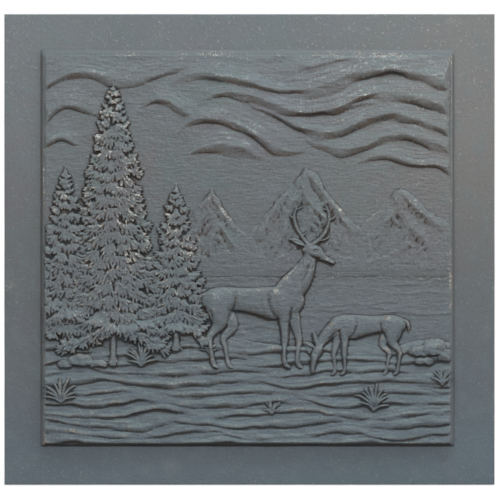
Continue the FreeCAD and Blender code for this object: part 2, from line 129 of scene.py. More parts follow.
class Canvas:  # heights in mm out of the panel's face, on a grid over part of it
    def __init__(self, left, right, low, high, step):
        self.x, self.z = [np.linspace(a, b, int(round((b - a) / step)) + 1) for a, b in ((left, right), (low, high))]
        self.gx, self.gz = np.meshgrid(self.x, self.z)
        self.step, self.height = step, np.full(self.gx.shape, sunk)

    def lay(self, base):
        self.base, self.height = base, base.copy()

    def area(self, line, reach):  # the part of the grid near a line
        (i, iEnd), (j, jEnd) = [np.searchsorted(axis, [line[:, k].min() - reach, line[:, k].max() + reach])
                                for k, axis in enumerate((self.x, self.z))]
        return np.s_[j:jEnd, i:iEnd]

    def at(self, x, z, grid=None):  # bilinear
        grid = self.height if grid is None else grid
        u, w = [np.clip((place - axis[0]) / (axis[1] - axis[0]), 0, count - 1.001)
                for place, axis, count in zip((x, z), (self.x, self.z), grid.shape[::-1])]
        i, j = u.astype(int), w.astype(int)
        fu, fw = u - i, w - j
        return ((grid[j, i] * (1 - fu) + grid[j, i + 1] * fu) * (1 - fw)
                + (grid[j + 1, i] * (1 - fu) + grid[j + 1, i + 1] * fu) * fw)

    def spans(self, line, part):  # per span: how far along the line, how far from it, and its other columns
        gx, gz = self.gx[part], self.gz[part]
        for index, (a, b) in enumerate(zip(line[:-1], line[1:])):
            dx, dz = b[0] - a[0], b[1] - a[1]
            t = np.clip(((gx - a[0]) * dx + (gz - a[1]) * dz) / (dx * dx + dz * dz + 1e-9), 0, 1)
            yield (index + t, np.hypot(gx - a[0] - t * dx, gz - a[1] - t * dz),
                   [a[k] + t * (b[k] - a[k]) for k in range(2, len(a))])

    def limb(self, stations, blend=0.5, slope=2.2, flat=2.4):  # rows of x, z, half width, lift
        line = smoothLine(stations, 6)
        part = self.area(line, line[:, 2].max() + 2)
        best = np.full(self.gx[part].shape, nowhere)
        for _, away, (half, lift) in self.spans(line, part):
            half = np.maximum(half, 0.2)
            dome = lift * np.sqrt(np.clip(1 - (away / half) ** flat, 0, 1))
            best = np.maximum(best, np.minimum(dome, slope * (half - away)))
        self.height[part] = smoothMax(self.height[part], best, blend)

    def stroke(self, points, width, lift, fade=True):  # a raised line, or a groove if lift < 0
        line = smoothLine(points, 5)
        part = self.area(line, 2 * width)
        total = np.zeros(self.gx[part].shape)
        for along, away, _ in self.spans(line, part):
            strength = np.sqrt(np.sin(math.pi * np.clip(along / (len(line) - 1), 0.02, 0.98))) if fade else 1.0
            total = np.maximum(total, strength * np.exp(-2 * (away / width) ** 2))
        self.height[part] += lift * total

    def ridge(self, stations, slope):  # two flanks that fall away from a crest of x, z, height
        line = smoothLine(stations, 4)
        part = self.area(line, line[:, 2].max() / slope)
        for _, away, (crest,) in self.spans(line, part):
            self.height[part] = np.maximum(self.height[part], crest - slope * away)

    def leaf(self, x, z, turn, length, width, base, lift):  # a fleck, highest near its tip
        sine, cosine = math.sin(turn), math.cos(turn)
        part = self.area(np.array([(x, z), (x + length * sine, z - length * cosine)]), width)
        dx, dz = self.gx[part] - x, self.gz[part] - z
        along = (dx * sine - dz * cosine) / length
        half = width / 2 * np.sqrt(np.clip(along * (1.04 - along) * 4, 0, 1))
        body = np.clip(1 - ((dx * cosine + dz * sine) / np.maximum(half, 1e-3)) ** 2, 0, 1)
        top = base + lift * (0.25 + 0.75 * along) * np.sqrt(body)
        self.height[part] = np.maximum(self.height[part], np.where((half > 0) & (body > 0), top, nowhere))

    # a crest with a long slope above it and a short drop below
    def fold(self, points, upper, lower, lift, seed, pillow=0.0, lines=2, soft=0.5, lean=0.45, fade=0.4):
        def waver(size, more):
            return noise(self.gx, self.gz, size, seed + more)

        line = smoothLine(points, 10)
        start, end = line[0, 0], line[-1, 0]
        crest = np.interp(self.gx, line[:, 0], line[:, 1])
        drift = self.gx - lean * np.clip(self.gz - crest, 0, 40)
        along = np.clip((drift - start) / (end - start), 0, 1)
        swell = 1 + 0.28 * waver(60, 0) + 0.20 * waver(21, 2)
        for free, way in ((start > artLeft, along), (end < artRight, 1 - along)):
            if free:  # an end within the picture dies away
                swell = swell * np.sin(math.pi / 2 * np.clip(way / fade, 0, 1)) ** 0.8
        swell = np.where((self.gx < start) | (self.gx > end), 0, swell)
        rise = self.gz - crest - 1.3 * waver(17, 1)
        s = np.clip(rise / (upper * (0.35 + 0.65 * swell)), 0, 1)
        above = (1 - pillow) * (1 - s) ** 1.7 + pillow * (1 - s ** 2.4)
        thick = lower * np.clip(1 + 1.1 * waver(43, 4), 0.4, 2.0)
        t = np.clip(-rise / (thick * (0.3 + 0.7 * swell)), 0, 1)
        hollow = ramp(waver(52, 6), -0.25, 0.45)
        below = (1 - hollow) * np.sqrt(1 - t ** 1.5) + hollow * (1 - t) ** 1.2
        height = lift * swell * np.where(rise >= 0, above, below)
        dice = np.random.RandomState(seed)
        for k in range(lines):  # drawn lines that follow the crest
            strength = hump(along, dice.uniform(0.0, 0.45), dice.uniform(0.55, 1.0))
            offset = upper * (dice.uniform(0.16, 0.30) + 0.24 * k) * (0.7 + 0.6 * along)
            height = height - 0.6 * strength * np.minimum(height, 1) * np.exp(-((rise - offset) / 0.9) ** 2)
        blend = np.clip(height, 0, soft)
        self.height = np.where(height > 0, smoothMax(self.height, self.base + height, blend), self.height)

    def inside(self, left, right, low, high):  # how far inside these limits
        return np.minimum(np.minimum(self.gx - left, right - self.gx), np.minimum(self.gz - low, high - self.gz))

    def soften(self, sigma):  # sigma in mm, as sand rounds a pattern
        self.height = blurred(self.height, sigma / self.step)

    def trim(self, slope=2.4, start=0.1):  # everything comes down to the panel's arris
        self.height = np.minimum(self.height, start + slope * self.inside(artLeft, artRight, artLow, artHigh))
        return self

    def cast(self, sigma, grain, size, seed, **ends):
        self.soften(sigma)
        self.height += grain * roughness(self.gx, self.gz, size, seed)
        return self.trim(**ends)

print("stage: relief heights")

# sky and its long folds of cloud
sky = dict(step=1.0, low=0.40, level=0.35, waver=0.25, upper=30, lower=9.5, lift=4.7, folds=shares([
    [(300, 925), (370, 955), (470, 944), (570, 912), (670, 920), (790, 962), (910, 960), (1030, 925)],
    [(350, 868), (430, 903), (520, 896), (610, 858), (710, 862), (810, 903), (920, 896), (1030, 852)],
    [(500, 878), (570, 846), (640, 812), (720, 806), (810, 842), (900, 846), (1030, 792)],
    [(310, 790), (370, 836), (450, 832), (530, 792), (590, 756), (650, 752)],
    [(640, 788), (700, 762), (780, 764), (860, 796), (940, 786), (1030, 745)],
    [(350, 744), (410, 772), (480, 762), (545, 730)],
    [(770, 722), (840, 742), (910, 722), (970, 718), (1030, 700)],
    [(-30, 895), (30, 946), (100, 960), (190, 938), (270, 950), (370, 990)],
    [(-30, 830), (30, 872), (85, 872), (150, 838)],
    [(-30, 760), (30, 790), (80, 772)],
    [(232, 865), (280, 888), (330, 868), (385, 832)],
    [(560, 958), (650, 972), (740, 992), (840, 998)],
    [(800, 935), (870, 925), (950, 908), (1030, 880)],
    [(700, 842), (760, 872), (840, 876), (910, 862)],
]))

def makeSky(step, low, level, waver, upper, lower, lift, folds):
    c = Canvas(artLeft, artRight, faceZ(low), artHigh, step)
    c.lay(level + waver * roughness(c.gx, c.gz, 46, 11))
    for index, points in enumerate(folds):
        size = 1.0 - 0.065 * min(index, 7)
        c.fold(onFace(points), upper * size, lower * size, lift * size, 20 + 3 * index, pillow=0.15, lines=3)
    streaks = noise(c.gx / 3.4 + 3.5 * noise(c.gx, c.gz, 60, 61), c.gz, 8.5, 60)
    c.height += 0.45 * streaks * ramp(c.gz - faceZ(0.74), -30, 30)  # fainter folds between the long ones
    return c.cast(0.45, 0.145, 3.2, 70, slope=0.6, start=0.12)

# two ranges of peaks behind the lake; a spur's third column is its height
peaks = dict(step=0.75, level=1.2, far=4.3, near=1.9, skyline=shares([
    (220, 430), (300, 500), (345, 560), (385, 625), (410, 655), (435, 618), (470, 560), (500, 535), (545, 590),
    (585, 640), (615, 668), (648, 715), (675, 690), (705, 640), (745, 590), (780, 555), (815, 590), (850, 628),
    (885, 660), (915, 640), (950, 600), (1010, 560),
]), hills=shares([
    (220, 470), (330, 500), (400, 478), (480, 500), (560, 472), (650, 505), (730, 480), (800, 466), (880, 498),
    (1010, 486),
]), spurs=shares([
    [(410, 650, 1000), (402, 600, 950), (420, 555, 850), (405, 505, 700), (425, 455, 500)],
    [(402, 600, 900), (372, 555, 750), (350, 490, 500)],
    [(412, 575, 900), (455, 530, 700), (475, 470, 500)],
    [(410, 640, 900), (435, 600, 800), (462, 555, 600)],
    [(648, 710, 1000), (640, 655, 980), (662, 605, 900), (645, 550, 750), (665, 480, 500)],
    [(640, 655, 950), (605, 605, 800), (590, 545, 650), (560, 480, 500)],
    [(662, 610, 900), (700, 570, 750), (720, 500, 500)],
    [(648, 560, 800), (620, 515, 650), (612, 470, 500)],
    [(655, 690, 950), (690, 645, 800), (730, 590, 650), (765, 540, 500)],
    [(885, 655, 1000), (880, 608, 950), (900, 560, 800), (890, 500, 600)],
    [(880, 610, 900), (845, 568, 750), (822, 505, 500)],
    [(900, 565, 850), (940, 525, 700), (960, 480, 500)],
    [(890, 640, 900), (930, 600, 800), (985, 555, 600)],
    [(585, 636, 850), (560, 588, 750), (530, 530, 600)],
    [(330, 530, 700), (300, 480, 500)],
]))

def makePeaks(step, level, far, near, skyline, hills, spurs):
    c = Canvas(faceX(0.24), artRight, faceZ(0.39), faceZ(0.74), step)
    plainX, plainZ = c.gx, c.gz
    c.gx = plainX + 1.3 * roughness(plainX, plainZ, 12, 80)
    c.gz = plainZ + 1.3 * roughness(plainX, plainZ, 11, 82)

    def under(line):
        return np.interp(c.gx, *np.array(onFace(line)).T)

    jag = 1.5 * noise(plainX, 0 * plainX, 8, 89) + 0.9 * noise(plainX, 0 * plainX, 3.6, 92)
    depth = under(skyline) + jag - c.gz
    c.height[:] = level
    dice = np.random.RandomState(88)
    for spur in spurs:
        line = [(x, z, far * h) for x, z, h in onFace(spur)]
        c.ridge(line, 0.29)
        for x, z, h in smoothLine(line, 3)[1:-1]:  # smaller ridges on both flanks
            side, reach = dice.choice((-1, 1)), dice.uniform(6, 13)
            c.ridge([(x, z, h - 0.1), (x + 0.5 * side * reach, z - 0.45 * reach, h - 0.75),
                     (x + 0.85 * side * reach, z - reach, h - 1.7)], 0.38)
    ribs = 1 - 1.6 * np.abs(noise(plainX + 0.25 * plainZ, 0.45 * plainZ, 6.5, 81))
    ribs += 0.6 * (1 - 1.6 * np.abs(noise(plainX - 0.35 * plainZ, 0.5 * plainZ, 3.8, 93)))
    c.height += 0.46 * ribs * ramp(depth, 0, 9)
    c.height = np.minimum(c.height, 0.25 + 1.2 * depth)
    front = under(hills) + 1.6 * roughness(plainX, plainZ, 5, 83) - c.gz
    lumps = 0.55 * np.abs(noise(plainX, plainZ, 4.6, 84)) + 0.5 * np.abs(noise(plainX, plainZ, 9, 86))
    wood = np.minimum(near + lumps - 0.02 * front, near + 1.6 * front)
    c.height = np.where(front > 0, np.maximum(np.minimum(c.height, near + 0.4), wood), c.height)
    c.gx, c.gz = plainX, plainZ
    shore = c.gz - faceZ(0.425) - 0.8 * noise(c.gx, c.gz, 11, 87)
    c.height = np.minimum(c.height, np.minimum(0.55 * shore + 0.3, 0.13 * shore + 0.75))
    return c.cast(0.33, 0.12, 2.8, 85)

# the lake: still water with drawn ripples, and reeds along its far shore
lake = dict(step=0.85, level=0.45, ripples=34, lift=0.62, upper=5.0, lower=1.8, reeds=46)

def makeLake(step, level, ripples, lift, upper, lower, reeds):
    c = Canvas(faceX(0.24), artRight, faceZ(0.20), faceZ(0.432), step)
    c.lay(level + 0.22 * roughness(c.gx / 2.4, c.gz, 14, 90))
    dice = np.random.RandomState(91)
    for index in range(ripples):
        near = 1 - (index + dice.uniform(-0.3, 0.3)) / ripples
        v = 0.424 - 0.185 * near ** 1.15
        start = dice.uniform(0.22, 0.88)
        end = start + dice.uniform(0.08, 0.26)
        sway = dice.uniform(0.002, 0.0055)
        points = [(start + (end - start) * k / 5, v + sway * math.sin(2.1 * k + index)) for k in range(6)]
        c.fold(onFace(points), upper * (0.5 + 0.8 * near), lower, lift * (0.55 + 0.6 * near), 100 + 2 * index,
               lines=0, soft=0.2)
    dice = np.random.RandomState(95)
    for index in range(reeds):
        x = faceX(0.25 + 0.78 * (index + dice.uniform(-0.4, 0.4)) / reeds)
        size = dice.uniform(1.0, 2.2) * (1.15 + math.sin(index * 0.55)) / 1.6 + 0.4
        z = faceZ(0.422) + dice.uniform(-0.8, 0.6)
        for k in (-1, 0, 1):
            c.limb([(x + 1.6 * k, z, 0.9, 2.6), (x + 2.1 * k, z + 1.7 * size, 0.5, 2.9)], 0.15)
    return c.cast(0.4, 0.115, 2.6, 97)

# the near bank and the flowing ground in front of it
bank = dict(step=0.85, level=1.3, rows=10, low=-0.010, high=0.236, upper=15.5, lower=3.2, lift=3.5, edge=shares([
    (-10, 350), (80, 335), (180, 300), (290, 312), (380, 290), (470, 268), (560, 252), (660, 246), (760, 262),
    (850, 244), (930, 262), (1010, 256),
]), slope=shares([
    (-30, 305), (70, 318), (160, 282), (260, 288), (360, 262), (450, 238),
]))

def makeBank(step, level, rows, low, high, upper, lower, lift, edge, slope):
    c = Canvas(artLeft, artRight, artLow, faceZ(0.38), step)
    edge = smoothLine(onFace(edge))
    depth = np.interp(c.gx, edge[:, 0], edge[:, 1]) + 0.7 * noise(c.gx, c.gz, 8, 120) - c.gz
    c.lay(level + 0.3 * roughness(c.gx / 1.8, c.gz, 18, 121))
    c.fold(onFace(slope), 13, 4, 2.2, 126, pillow=0.4, lines=1)
    dice = np.random.RandomState(130)
    spans = 7
    for row in range(rows):
        share = row / (rows - 1)
        start, phase = -0.05 - 0.2 * (row % 2), 0.9 * row
        while start < 1.0:  # long folds, each ending among its neighbours
            end = start + dice.uniform(0.36, 0.62)
            lean = dice.uniform(-0.010, 0.014)
            points = []
            for k in range(spans + 1):
                u = start + (end - start) * k / spans
                wave = math.sin(2 * math.pi * u / 0.34 + phase) + 0.5 * math.sin(2 * math.pi * u / 0.19 + 1.7 * phase)
                points.append((u, low + share * (high - low) + 0.0085 * wave * (1.15 - 0.5 * share)
                               + lean * (2 * k / spans - 1)))
            size = dice.uniform(0.82, 1.12) * (1.05 - 0.35 * share)
            c.fold(onFace(points), upper * size, lower, lift * size, dice.randint(200, 9000), pillow=0.35, soft=0.35)
            start = end - dice.uniform(0.08, 0.16)
    streaks = noise(c.gx / 3.5 + 3 * noise(c.gx, c.gz, 50, 181), c.gz, 4.2, 180)
    c.height += 0.36 * streaks + 0.30 * noise(c.gx / 1.6, c.gz, 9, 183)
    c.height = np.minimum(c.height, 0.2 + 1.7 * depth)
    return c.cast(0.45, 0.135, 2.8, 182, slope=3.2, start=0.3)

# firs: skirts of drooping clumps, one above the other, with needles on them
firs = dict(
    tall=dict(foot=(0.165, 0.225), height=0.715, half=0.138, tiers=22, lift=5.4, seed=3),
    left=dict(foot=(0.045, 0.255), height=0.455, half=0.080, tiers=16, lift=4.4, seed=4),
    right=dict(foot=(0.322, 0.262), height=0.400, half=0.080, tiers=15, lift=4.6, seed=5),
)

def makeFir(foot, height, half, tiers, lift, seed, step=0.75, taper=0.92, needles=5):
    x, low = faceX(foot[0]), faceZ(foot[1])
    tall, reach = height * faceHeight, half * faceWidth
    top = low + tall
    c = Canvas(x - reach - 12, x + reach + 12, low - 12, top + 6, step)
    dice = np.random.RandomState(seed)
    c.limb([(x - 0.4, low - 9, 4.4, 3.4), (x, low + 4, 3.2, 3.2), (x, low + tall * 0.5, 2.0, 2.0), (x, top, 0.6, 1.6)],
           0.3)
    rises = np.linspace(0.14, 0.95, 7)
    c.limb([(x, low + tall * rise, 0.66 * reach * (1 - rise) ** taper + 0.8, 2.3) for rise in rises],
           0.4, 1.2, 2.0)  # the mass of twigs under the clumps
    for side in (-1, 0, 1):  # roots
        c.limb([(x + side, low - 2, 1.9, 3.0), (x + 4 * side, low - 8, 1.3, 2.4), (x + 8 * side, low - 11, 0.5, 1.2)],
               0.4)
    for tier in range(tiers):
        share = tier / (tiers - 0.5)
        rise = 0.965 - 0.885 * (1 - share) ** 1.25
        spread = (reach * (1 - rise) ** taper + 0.2) * dice.uniform(0.88 + 0.06 * share, 1.10 - 0.04 * share)
        pitch = tall * 1.106 / tiers * (1 - share) ** 0.25
        z = low + tall * rise
        count = max(5, int(round(2 * spread / (4.6 - 1.9 * share))))
        for side in (-1, 1):  # the longest branches, under the clumps
            c.limb([(x, z + pitch * 0.9, 0.9, 2.2), (x + side * spread * 0.45, z + pitch * 0.35, 0.8, 2.2),
                    (x + side * spread * 0.88, z - pitch * 0.55, 0.5, 1.8)], 0.2)
        for k in np.argsort(-np.abs(np.linspace(-1, 1, count)), kind="stable"):
            side = -1 + 2 * k / (count - 1) + dice.uniform(-0.5, 0.5) / count
            away = min(abs(side), 1.0)
            bx = x + spread * side * 0.80
            bz = z + pitch * 1.10 - pitch * 1.9 * away ** 1.35 + dice.uniform(-0.2, 0.2) * pitch
            turn = math.copysign(1, side) * (0.10 + 1.05 * away ** 1.2) + dice.uniform(-0.28, 0.28)
            size = (pitch * 1.22 + 2.5) * (1 - 0.48 * share ** 6) * dice.uniform(0.82, 1.12) * (1 - 0.18 * away)
            front = lift * (0.34 + 0.42 * (1 - away ** 2)) * (1 - 0.25 * share)
            c.leaf(bx, bz, turn, size, size * dice.uniform(0.46, 0.60) * (1 - 0.3 * share ** 4),
                   front + dice.uniform(-2.8, -0.6), 3.5)
            for needle in range(needles):  # fanned over the clump's lower end
                swing = (needle - 2) * 0.42 + dice.uniform(-0.15, 0.15)
                c.leaf(bx + size * 0.42 * math.sin(turn) + 1.2 * swing, bz - size * 0.42 * math.cos(turn),
                       turn + 0.75 * swing, size * dice.uniform(0.52, 0.72), 2.6, front + dice.uniform(0.4, 1.1), 1.3)
    c.limb([(x, top - 12, 1.8, 2.8), (x, top - 3, 1.1, 2.3), (x, top + 6, 0.35, 1.4)], 0.3)
    for k in range(6):  # the leader
        c.leaf(x + dice.uniform(-0.3, 0.3), top + 3 - 1.3 * k, (k % 2 * 2 - 1) * (0.32 + 0.05 * k), 2.8 + 0.35 * k,
               1.4 + 0.12 * k, 1.5 + 0.12 * k, 1.0)
    c.soften(0.33)
    c.height += ramp(c.height, 0.5, 2.0) * 0.16 * roughness(c.gx, c.gz, 2.6, seed + 200)
    return c.trim()

# the deer: stations are x, z, half width and lift as shares of the shoulder height and of the deer's lift
deerBody = shares(dict(
    farLeg=[[(-360, 660, 110, 600), (-280, 500, 72, 520), (-385, 360, 44, 440), (-365, 250, 30, 380),
    (-345, 120, 26, 360), (-333, 70, 31, 360), (-315, 28, 31, 360), (-285, 4, 20, 340)], [(440, 660, 92, 600),
    (485, 500, 62, 500), (525, 330, 42, 440), (515, 240, 30, 380), (500, 110, 26, 360), (508, 65, 31, 360),
    (526, 26, 31, 360), (556, 4, 20, 340)]],
    trunk=[[(-600, 825, 70, 700), (-530, 820, 130, 860), (-400, 825, 158, 950), (-220, 825, 146, 940),
    (-20, 805, 166, 980), (200, 780, 202, 1020), (370, 790, 190, 980), (460, 815, 135, 850)]],
    haunch=[[(-500, 860, 75, 960), (-470, 770, 142, 1120), (-440, 660, 135, 1120), (-430, 570, 95, 1000)]],
    shoulder=[[(285, 900, 70, 1000), (320, 820, 112, 1120), (345, 720, 105, 1120), (350, 620, 85, 1000)]],
    leg=[[(-450, 660, 128, 1000), (-430, 540, 90, 880), (-515, 430, 56, 760), (-555, 360, 47, 700),
    (-545, 260, 33, 620), (-525, 130, 30, 580), (-513, 70, 34, 580), (-492, 28, 34, 580), (-458, 4, 22, 540)],
    [(345, 680, 96, 1000), (345, 560, 70, 860), (352, 420, 50, 740), (352, 335, 48, 720), (348, 240, 33, 620),
    (343, 120, 29, 580), (350, 70, 34, 580), (372, 28, 34, 580), (406, 4, 22, 540)]],
    tail=[[(-620, 885, 34, 800), (-675, 850, 40, 700), (-705, 760, 28, 550), (-700, 700, 12, 400)]],
))
stagHead = shares(dict(
    farAntler=[[(635, 1485, 40, 780), (560, 1580, 36, 800), (490, 1700, 33, 800), (465, 1830, 29, 780),
    (500, 1950, 20, 720), (530, 2010, 10, 620)], [(555, 1585, 28, 760), (625, 1640, 24, 740), (665, 1720, 12, 640)],
    [(468, 1790, 27, 760), (400, 1850, 21, 720), (365, 1935, 11, 620)], [(480, 1900, 23, 740), (555, 1935, 17, 700),
    (595, 1985, 10, 620)]],
    farEar=[[(655, 1470, 20, 550), (735, 1515, 34, 550), (815, 1530, 10, 450)]],
    neck=[[(340, 860, 160, 960), (440, 965, 172, 1000), (535, 1085, 152, 980), (605, 1205, 120, 920),
    (645, 1315, 92, 860), (655, 1380, 78, 820)]],
    head=[[(610, 1425, 60, 840), (660, 1428, 92, 960), (722, 1396, 94, 1060), (785, 1352, 66, 940),
    (838, 1318, 46, 820), (888, 1290, 48, 880), (922, 1271, 41, 780)]],
    ear=[[(600, 1465, 26, 950), (520, 1510, 50, 1000), (450, 1540, 38, 880), (385, 1550, 10, 660)]],
    antler=[[(685, 1485, 41, 880), (790, 1565, 37, 900), (865, 1690, 34, 880), (885, 1830, 30, 840),
    (850, 1955, 20, 760), (820, 2015, 10, 660)], [(745, 1528, 28, 840), (835, 1545, 24, 800), (915, 1600, 12, 680)],
    [(880, 1770, 27, 820), (950, 1815, 21, 760), (990, 1895, 11, 660)], [(870, 1900, 23, 780), (795, 1925, 17, 740),
    (750, 1975, 10, 640)]],
))
doeHead = shares(dict(
    farEar=[[(835, 440, 24, 660), (905, 485, 46, 660), (965, 510, 36, 600), (1020, 520, 10, 500)]],
    neck=[[(340, 840, 150, 960), (480, 775, 135, 980), (600, 685, 112, 940), (700, 575, 90, 900),
    (765, 475, 74, 860)]],
    head=[[(745, 435, 58, 900), (785, 400, 85, 1000), (820, 325, 82, 1040), (848, 225, 58, 960), (862, 140, 46, 880),
    (868, 80, 43, 820), (866, 45, 34, 700)]],
    ear=[[(785, 465, 30, 1080), (806, 545, 56, 1120), (832, 625, 46, 1000), (862, 700, 12, 720)]],
))

# grooves and raised lines on the body: points, width, depth
bodyLines = shares([
    # behind the shoulder
    ([(200, 970), (155, 840), (185, 700), (255, 600)], 40, -170),
    ([(450, 740), (420, 660), (415, 580)], 28, -140),
    # in front of the haunch
    ([(-250, 930), (-245, 800), (-280, 680), (-340, 585)], 40, -170),
    ([(-560, 720), (-520, 600), (-555, 470)], 22, -100),
    # ribs
    ([(-60, 900), (-90, 780), (-70, 680)], 30, -45),
    ([(20, 900), (-10, 780), (10, 660)], 28, -40),
    ([(100, 900), (70, 780), (90, 650)], 28, -40),
    # along the back
    ([(-420, 955), (-100, 950), (150, 955), (330, 985)], 30, 70),
    # above the belly
    ([(-200, 665), (0, 640), (160, 610)], 30, -100),
    ([(335, 375), (352, 335), (340, 295)], 16, -70),
    ([(-565, 400), (-545, 345), (-560, 300)], 16, -70),
    # above the hooves
    ([(335, 38), (400, 50)], 14, -100),
    ([(-530, 38), (-460, 50)], 14, -100),
])
stagLines = shares([
    ([(395, 1045), (470, 1160), (545, 1290), (590, 1385)], 30, -100),
    ([(560, 1020), (615, 1150), (665, 1290)], 26, -100),
    # jaw
    ([(655, 1362), (700, 1334), (755, 1322), (790, 1332)], 20, -150),
    # mouth
    ([(838, 1286), (880, 1264), (926, 1252)], 13, -150),
    # brow
    ([(700, 1432), (730, 1442), (762, 1426)], 13, 120),
    # nostril
    ([(908, 1296), (926, 1284)], 14, -170),
    # ear
    ([(575, 1485), (510, 1520), (445, 1535)], 18, -170),
    ([(780, 1385), (840, 1345), (890, 1315)], 14, 60),
])
doeLines = shares([
    ([(400, 740), (510, 670), (620, 560)], 28, -100),
    ([(740, 400), (770, 310), (800, 240)], 18, -130),
    ([(838, 150), (842, 100), (838, 60)], 12, -100),
    ([(852, 395), (872, 350), (876, 310)], 16, 100),
    ([(882, 80), (884, 66)], 14, -140),
    ([(790, 490), (810, 560), (842, 650)], 20, -170),
])
# back to front, with blend, slope and flatness
drawn = [("farAntler", 0.25, 2.4, 2.0), ("farEar", 0.3), ("farLeg", 0.4, 2.4), ("tail", 0.4), ("trunk", 0.6, 2.4, 2.8),
         ("neck", 1.2, 2.4, 2.6), ("haunch", 1.2, 2.4, 2.2), ("shoulder", 1.2, 2.4, 2.2), ("leg", 0.6, 2.4),
         ("head", 0.7, 2.4), ("ear", 0.3, 2.4), ("antler", 0.25, 2.4, 2.0)]
stag = dict(step=0.5, foot=(0.520, 0.190), size=84.0, tall=2.1, lift=6.2, eye=(0.728, 1.408), seed=220, mane=26,
            facing=1, head=stagHead, lines=stagLines)
doe = dict(step=0.45, foot=(0.795, 0.172), size=62.0, tall=1.12, lift=5.2, eye=(0.838, 0.345), seed=230, mane=8,
           facing=-1, head=doeHead, lines=doeLines)

def makeDeer(step, foot, size, tall, lift, eye, seed, mane, facing, head, lines):
    x, z = faceX(foot[0]), faceZ(foot[1])
    sides = sorted((x - facing * 0.78 * size, x + facing * 1.06 * size))
    c = Canvas(*sides, z - 3, z + tall * size, step)

    def placed(a, b):
        return x + facing * a * size, z + b * size

    def stations(rows):
        return [(*placed(a, b), w * size, h * lift) for a, b, w, h in rows]

    form = {**deerBody, **head}
    for name, *how in drawn:
        for rows in form.get(name, []):
            c.limb(stations(rows), *how)
    for points, width, depth in bodyLines + lines:
        c.stroke([placed(*point) for point in points], width * size, 1.55 * depth * lift)
    neck = smoothLine(stations(head["neck"][0]))
    way = neck[3] - neck[-3]
    way = way[:2] / np.hypot(*way[:2])
    across = np.array((-way[1], way[0]))
    dice = np.random.RandomState(seed + 9)
    for _ in range(mane):  # hair of the neck, in short locks
        station = neck[dice.randint(4, len(neck) - 4)]
        start = station[:2] + across * (dice.uniform(-0.75, 0.75) * station[2])
        reach, bend = dice.uniform(3.5, 6.5), dice.uniform(-1.0, 1.0)
        c.stroke([start, start + way * reach * 0.5 - bend * across, start + way * reach], 1.1, -0.42)
    ex, ez = placed(*eye)
    opening = 0.017 * size
    c.stroke([(ex - opening, ez - 0.2), (ex, ez + 0.5), (ex + opening, ez - 0.1)], 0.034 * size, -0.26 * lift)
    c.stroke([(ex - 0.25 * opening, ez), (ex + 0.25 * opening, ez)], 0.014 * size, 0.24 * lift, fade=False)
    c.height = np.where(c.gz < z - 0.014 * size, sunk, c.height)  # the soles
    solid = ramp(c.height, 0.4, 1.6)
    coat = noise(c.gx / 2.8 + 0.4 * c.gz, c.gz, 1.9, seed)  # short hair, lying along the body
    c.height += solid * (0.12 * coat + 0.28 * roughness(c.gx, c.gz, 11, seed + 1))
    c.soften(0.32)
    c.height += 0.09 * solid * noise(c.gx, c.gz, 1.7, seed + 5)
    return c

# rocks: place, half width, half height, lift; ferns and grass: place, length, blades, seed
rocks = dict(step=0.75, stones=[
    (0.926, 0.232, 9.5, 7.0, 4.4), (0.966, 0.240, 13.0, 10.5, 5.2), (0.995, 0.220, 9.0, 8.0, 4.0),
    (0.940, 0.206, 10.0, 5.0, 4.4), (0.083, 0.208, 13.0, 7.5, 4.4), (0.128, 0.199, 9.0, 4.6, 3.8),
    (0.045, 0.198, 8.5, 4.8, 3.4)])
ferns = dict(step=0.7, tufts=[
    (0.235, 0.200, 27, 11, 11), (0.035, 0.105, 29, 11, 12), (0.815, 0.085, 28, 11, 13), (0.655, 0.232, 13, 9, 14),
    (0.985, 0.150, 20, 9, 15), (0.405, 0.232, 15, 9, 16), (0.560, 0.075, 16, 9, 17)])

def makeRocks(step, stones):
    c = Canvas(artLeft, artRight, faceZ(0.12), faceZ(0.29), step)
    for index, (u, v, wide, high, lift) in enumerate(stones):
        dx = c.gx - faceX(u) + 1.4 * noise(c.gx, c.gz, 7, 300 + index)
        dz = c.gz - faceZ(v) + 1.4 * noise(c.gx, c.gz, 7, 320 + index)
        away = ((np.abs(dx) / wide) ** 2.5 + (np.abs(dz) / high) ** 2.5) ** 0.4
        facets = 1.7 * np.abs(noise(c.gx + 0.6 * c.gz, c.gz, 9.5, 340 + index))
        stone = np.minimum(lift * np.clip(1.35 - away, 0, 1) ** 0.4 - facets, 18 * (1 - away))
        c.height = np.maximum(c.height, np.where(dz < -0.62 * high, sunk, stone))  # its foot is in the ground
    return c.cast(0.45, 0.12, 2.6, 360)

def makeTuft(u, v, length, blades, seed):
    x, z = faceX(u), faceZ(v)
    c = Canvas(x - length * 0.95, x + length * 0.95, z - 4, z + length * 1.1, ferns["step"])
    dice = np.random.RandomState(seed)
    for blade in range(blades):
        lean = math.radians(-72 + 144 * blade / (blades - 1) + dice.uniform(-7, 7))
        reach = length * dice.uniform(0.70, 1.0) * (0.72 + 0.28 * math.cos(lean))
        side, up = math.sin(lean), math.cos(lean)
        wide = 0.075 * length
        stations = [(x + 0.6 * side, z - 2, wide * 0.7, 2.0),
                    (x + 0.35 * reach * side * 0.8, z + 0.45 * reach * up, wide, 3.4),
                    (x + 0.75 * reach * side, z + 0.85 * reach * up, wide * 0.75, 3.2),
                    (x + 1.02 * reach * side, z + reach * up * (0.98 - 0.16 * abs(side)), 0.35, 2.0)]
        c.limb(stations, 0.12, 2.4, 1.6)
        c.stroke([station[:2] for station in stations], 0.7, 0.35)
    c.soften(0.3)
    return c.trim()

